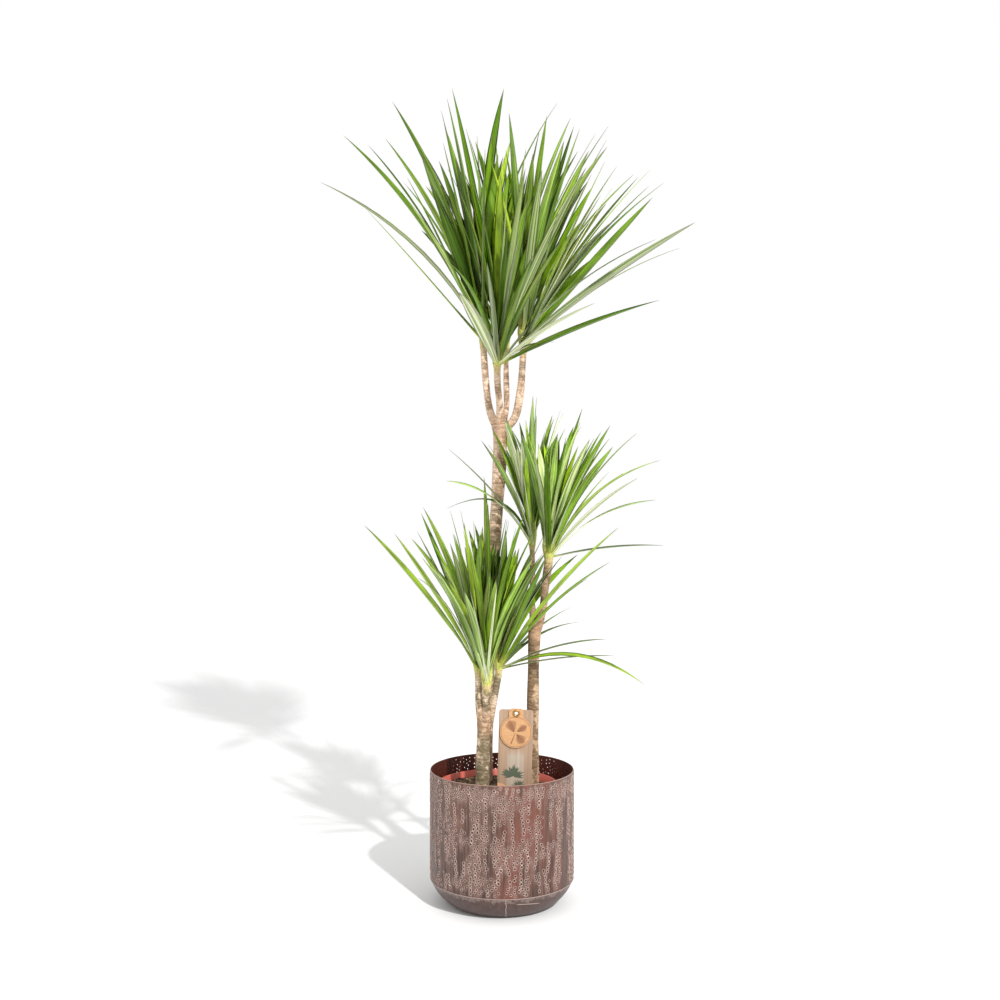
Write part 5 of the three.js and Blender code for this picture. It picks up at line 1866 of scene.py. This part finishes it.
def card_material():
    card = Recipe("label_card")
    where = upright(card)
    x, _, z = card.parts(where)
    boards = card.noise(card.stretched(where, 1, 0, 0.02), 130, 2, 0.5)
    fibre = card.noise(card.stretched(where, 1, 1, 0.25), 900, 3)
    stops = [(0.3, srgb(132, 106, 84)), (0.46, srgb(166, 138, 113))]
    stops += [(0.56, srgb(158, 130, 106)), (0.7, srgb(184, 159, 137))]
    paper = card.ramp(boards, stops)
    middle = LABEL["x"] * MM
    off = card.math("ABSOLUTE", card.math("SUBTRACT", x, middle + 0.001))
    panel = card.less(card.step(off, 0.012, 0.016))
    low = card.step(z, 0.196, 0.205)
    high = card.less(card.step(z, 0.262, 0.276))
    panel = card.times(panel, card.times(low, high))
    colour = card.over(paper, srgb(176, 172, 158), panel, 0.5)
    colour = card.over(colour, srgb(140, 112, 88), fibre, 0.12)
    return card.finish(colour, 0.6, height=fibre, depth=0.00008)


CARD_FINISH = card_material()


def card_outline():
    half, corner = LABEL["width"] / 2, CARD["corner"]
    top = LABEL["height"] - corner
    outline = [(-half + CARD["point_in"], 0), (half - CARD["point_in"], 0), (half, CARD["point_height"])]
    outline += arc(half - corner, top, corner, 0, 90, 8)
    outline += arc(-half + corner, top, corner, 90, 180, 8)
    outline.append((-half, CARD["point_height"]))
    return outline


def eyelet_hole():
    return arc(0, LABEL["height"] - EYELET["drop"], EYELET["tube"] + AIR, 0, 350, 35)


card_front = LABEL["y"] - LABEL["thick"]
plate(
    "label_card_printed", card_outline(), [eyelet_hole()], card_front, LABEL["thick"],
    CARD_FINISH, ["label_card"],
)


# %% [markdown]
# The wooden charm is laser-cut plywood. Its edge is scorched, and its face has a plain burnt
# drawing: a border line and three hatched leaves. The drawing is a thin dark layer that stands a
# tenth of a millimetre proud, cut to shape like the plates.


# %% Charm
def charm_outline():
    radius, tab = CHARM["radius"], CHARM["tab_width"] / 2
    centre = LABEL["height"] - CHARM["drop"]
    meet = math.degrees(math.acos(tab / radius))
    tab_top = LABEL["height"] - EYELET["drop"] + 2
    corner = CHARM["tab_corner"]
    outline = arc(0, centre, radius, 180 - meet, 360 + meet, 72)
    outline += arc(tab - corner, tab_top, corner, 0, 90, 8)
    outline += arc(-tab + corner, tab_top, corner, 90, 180, 8)
    return outline


def wood_material():
    wood = Recipe("charm_wood")
    where = upright(wood)
    grain = wood.noise(wood.stretched(where, 0.12, 1, 1), 520, 4, 0.6, 0.6)
    broad = wood.noise(where, 60, 2)
    stops = [(0.3, srgb(178, 132, 88)), (0.6, srgb(194, 150, 106)), (0.8, srgb(202, 162, 118))]
    colour = wood.ramp(grain, stops)
    colour = wood.over(colour, srgb(184, 128, 76), broad, 0.25)
    return wood.finish(colour, 0.5, height=grain, depth=0.0001)


def scorch_material():
    scorch = Recipe("scorched_line")
    grain = scorch.noise(scorch.place(), 1200, 3)
    colour = scorch.mix(grain, srgb(92, 54, 34), srgb(140, 88, 56))
    return scorch.finish(colour, 0.7)


WOOD, SCORCH = wood_material(), scorch_material()
charm_back = card_front - AIR
charm_front = charm_back - CHARM["thick"]
charm_centre = LABEL["height"] - CHARM["drop"]
plate(
    "label_charm", charm_outline(), [eyelet_hole()], charm_front, CHARM["thick"],
    WOOD, ["label_disc"], bevel=0.35,
)

# %% [markdown]
# A laser burns lines, so the drawing is made of strokes: a rib for each leaf and slanting strokes
# on both sides. A picture laid on the wood would be quicker, but strokes stay sharp from near.

# %% Burnt drawing on the charm
PROUD = 0.1
HATCH_GAP = 1.5
RIB_CLEAR = 0.6  # half the rib's width, where the side strokes begin


def leaf_outline(foot, tip, width, steps=14):
    """A pointed leaf from foot to tip, in the plate's x and z."""
    foot, tip = np.array(foot, dtype=float), np.array(tip, dtype=float)
    chord = tip - foot
    side = np.array([-chord[1], chord[0]]) / np.linalg.norm(chord)
    share = np.arange(1, steps) / steps
    bulge = width / 2 * np.sin(math.pi * share) * (1.25 - 0.5 * share)
    one = foot + chord * share[:, None] + side * bulge[:, None]
    other = foot + chord * share[:, None] - side * bulge[:, None]
    return [tuple(foot)] + [tuple(p) for p in one] + [tuple(tip)] + [tuple(p) for p in other[::-1]]


def ring_plate(name, radius, width, material):
    outer = arc(0, charm_centre, radius, 0, 355, 71)
    inner = arc(0, charm_centre, radius - width, 0, 355, 71)
    plate(name, outer, [inner], charm_front - PROUD, PROUD, material, bevel=0)


def hatched_leaf(foot, tip, width):
    """A leaf drawn as a rib and slanting burnt strokes: each is a start, an end and a width."""
    foot, tip = np.array(foot, dtype=float), np.array(tip, dtype=float)
    chord = tip - foot
    length = np.linalg.norm(chord)
    side = np.array([-chord[1], chord[0]]) / length
    strokes = [(foot, tip, 2 * RIB_CLEAR)]
    count = int(length / HATCH_GAP)
    for k in range(1, count):
        share = k / count
        bulge = width / 2 * math.sin(math.pi * share) * (1.25 - 0.5 * share)
        middle = foot + chord * share
        for sign in (1, -1):
            start = middle + side * sign * RIB_CLEAR
            end = middle + side * sign * bulge + chord / length * bulge * 0.45
            if bulge > 2 * RIB_CLEAR:
                strokes.append((start, end, 1.2))
    return strokes


def stroke_mesh(strokes, front, depth):
    """Thin bars from start to end, drawn in x and z and stood with the label."""
    points, faces = [], []
    for start, end, thick in strokes:
        chord = end - start
        side = np.array([-chord[1], chord[0]]) / np.linalg.norm(chord) * thick / 2
        corners = [start - side, end - side * 0.4, end + side * 0.4, start + side]
        base = len(points)
        for y in (front, front + depth):
            points.extend((c[0], y, c[1]) for c in corners)
        faces += [(base, base + 1, base + 2, base + 3), (base + 7, base + 6, base + 5, base + 4)]
        for k in range(4):
            n = (k + 1) % 4
            faces.append((base + k, base + 4 + k, base + 4 + n, base + n))
    return [tuple((STAND @ (Vector(p) * MM)) / MM) for p in points], faces


ring_plate("charm_border", CHARM["radius"] - 1.6, 0.6, SCORCH)
drawing = hatched_leaf((-3, charm_centre), (-12, charm_centre + 20), 19)
drawing += hatched_leaf((1.5, charm_centre - 3.5), (14, charm_centre - 19), 17)
drawing += hatched_leaf((2, charm_centre + 1), (19, charm_centre + 11), 12)
drawing.append((np.array([-8.0, charm_centre - 20]), np.array([-0.8, charm_centre - 2]), 1.8))
new_piece(
    "charm_drawing", *stroke_mesh(drawing, charm_front - PROUD, PROUD), SCORCH, "label_wood", smooth=False
)
print("burnt strokes:", len(drawing))


# %% [markdown]
# Ink has hardly any thickness. Each printed leaf is a plate of its own, and each next one lies a
# little further out, because two surfaces in one plane would flicker.

# %% The printed clumps of leaves
def ink_material(name, dark, light):
    ink = Recipe(name)
    grain = ink.noise(ink.place(), 700, 3)
    return ink.finish(ink.mix(grain, dark, light), 0.6)


INK = ink_material("printed_leaf", srgb(52, 60, 44), srgb(98, 106, 84))
INK_WARM = ink_material("printed_ground", srgb(196, 142, 100), srgb(214, 166, 128))
PRINT = 0.06


def printed_clump(foot_x, foot_z, size, count, spread, rng):
    """A tuft of pointed leaves that fan out from one place, each its own thin layer of ink."""
    for k in range(count):
        angle = math.radians(90 + (k - (count - 1) / 2) * spread / count + rng.uniform(-6, 6))
        length = size * rng.uniform(0.72, 1.05)
        tip = around(foot_x, foot_z, length, angle)
        outline = leaf_outline((foot_x, foot_z), tip, size * 0.17, 8)
        layer = card_front - PRINT * (1 + 0.1 * k)
        plate(f"print_leaf_{foot_z}_{k}", outline, [], layer, PRINT, INK, bevel=0)


printed_clump(-3, 80, 21, 19, 200, random.Random(3))
printed_clump(8, 62, 14, 13, 190, random.Random(4))
ground = arc(-29, 44, 24, 0, 90, 12) + [(-29, 44)]
plate("print_ground", ground, [], card_front - PRINT, PRINT, INK_WARM, bevel=0)


# %% [markdown]
# The eyelet is a short brass tube whose ends are rolled over. Its profile is turned round the
# hole's own axis, and then laid on its side.

# %% Eyelet
def eyelet_profile():
    front = CHARM["thick"] + LABEL["thick"] + 2 * AIR
    hole, tube_radius, flange, lip = (EYELET[k] for k in ("hole", "tube", "flange", "lip"))
    profile = [(hole, -AIR - lip * 0.4), (hole + 0.7, -AIR - lip), (flange - 1.6, -AIR - lip)]
    profile += [(flange - 1, -AIR - lip * 0.5), (flange - 1.1, -AIR), (tube_radius, -AIR)]
    profile += [(tube_radius, front), (flange - 0.3, front)]
    middle, half = (hole + flange) / 2, (flange - hole) / 2
    for i in range(13):
        angle = math.pi * i / 12
        profile.append((middle + half * math.cos(angle), front + 0.1 + (lip - 0.1) * math.sin(angle)))
    return profile


def brass_material():
    brass = Recipe("eyelet_brass")
    scuff = brass.noise(brass.place(), 800, 4)
    colour = brass.mix(scuff, srgb(142, 104, 56), srgb(182, 142, 86))
    rough = brass.scaled(scuff, 0.25, 0.2)
    return brass.finish(colour, rough, 1.0, height=scuff, depth=0.00005)


eyelet_points, eyelet_faces = turned(eyelet_profile(), 48)
lay = STAND @ Matrix.Translation((0, LABEL["y"] * MM, (LABEL["height"] - EYELET["drop"]) * MM))
lay = lay @ Matrix.Rotation(math.pi / 2, 4, "X")
eyelet_points = [tuple((lay @ (Vector(p) * MM)) / MM) for p in eyelet_points]
eyelet = new_piece(
    "label_eyelet_rolled", eyelet_points, eyelet_faces, brass_material(), "label_brass", ["label_eyelet"]
)
mark_creases(eyelet.data)

# %% [markdown]
# ## Floor and light
# The object stands on a plain pale floor in an even white studio. The floor is nearly as pale as
# the light round it, so that no horizon shows, and a faint noise keeps it from being one flat grey.

# %% Stage
FLOOR_HALF = 6.0
FLOOR_GREY = 0.78

floor_mesh = bpy.data.meshes.new("floor")
corners = [(-1, -1), (1, -1), (1, 1), (-1, 1)]
floor_mesh.from_pydata([(x * FLOOR_HALF, y * FLOOR_HALF, 0) for x, y in corners], [], [(0, 1, 2, 3)])
floor = linked("floor", floor_mesh)
floor_finish = Recipe("studio_floor")
tooth = floor_finish.noise(floor_finish.place(), 3, 2)
floor_colour = floor_finish.mix(tooth, (FLOOR_GREY, FLOOR_GREY, FLOOR_GREY, 1), (0.8, 0.8, 0.795, 1))
floor_mesh.materials.append(floor_finish.finish(floor_colour, 0.9, gloss=0.0))

# %% [markdown]
# Soft white light comes from all round, and one lamp stands near, at the front right, higher than
# the plant. A sun's shadow would be as wide as the plant, and a near lamp spreads it on the floor
# behind and to the left, as in the reference view. Its falloff is constant, so the floor stays even.

# %% Light
world = bpy.data.worlds.new("studio")
bpy.context.scene.world = world
world.use_nodes = True
world.node_tree.nodes["Background"].inputs["Color"].default_value = (1, 1, 1, 1)
world.node_tree.nodes["Background"].inputs["Strength"].default_value = 1.0

KEY_LAMP = {"at": (2.1, -4.5, 3.9), "watts": 38.0, "radius": 0.11}
key_data = bpy.data.lights.new("key", "POINT")
key_data.energy = KEY_LAMP["watts"]
key_data.shadow_soft_size = KEY_LAMP["radius"]
key_data.use_nodes = True
lamp_nodes = key_data.node_tree.nodes
even = lamp_nodes.new("ShaderNodeLightFalloff")
even.inputs["Strength"].default_value = 1.0
key_data.node_tree.links.new(even.outputs["Constant"], lamp_nodes["Emission"].inputs["Strength"])
linked("key", key_data).location = KEY_LAMP["at"]

bpy.context.scene.view_settings.view_transform = "Standard"
bpy.context.scene.view_settings.look = "None"
print("light and floor set")
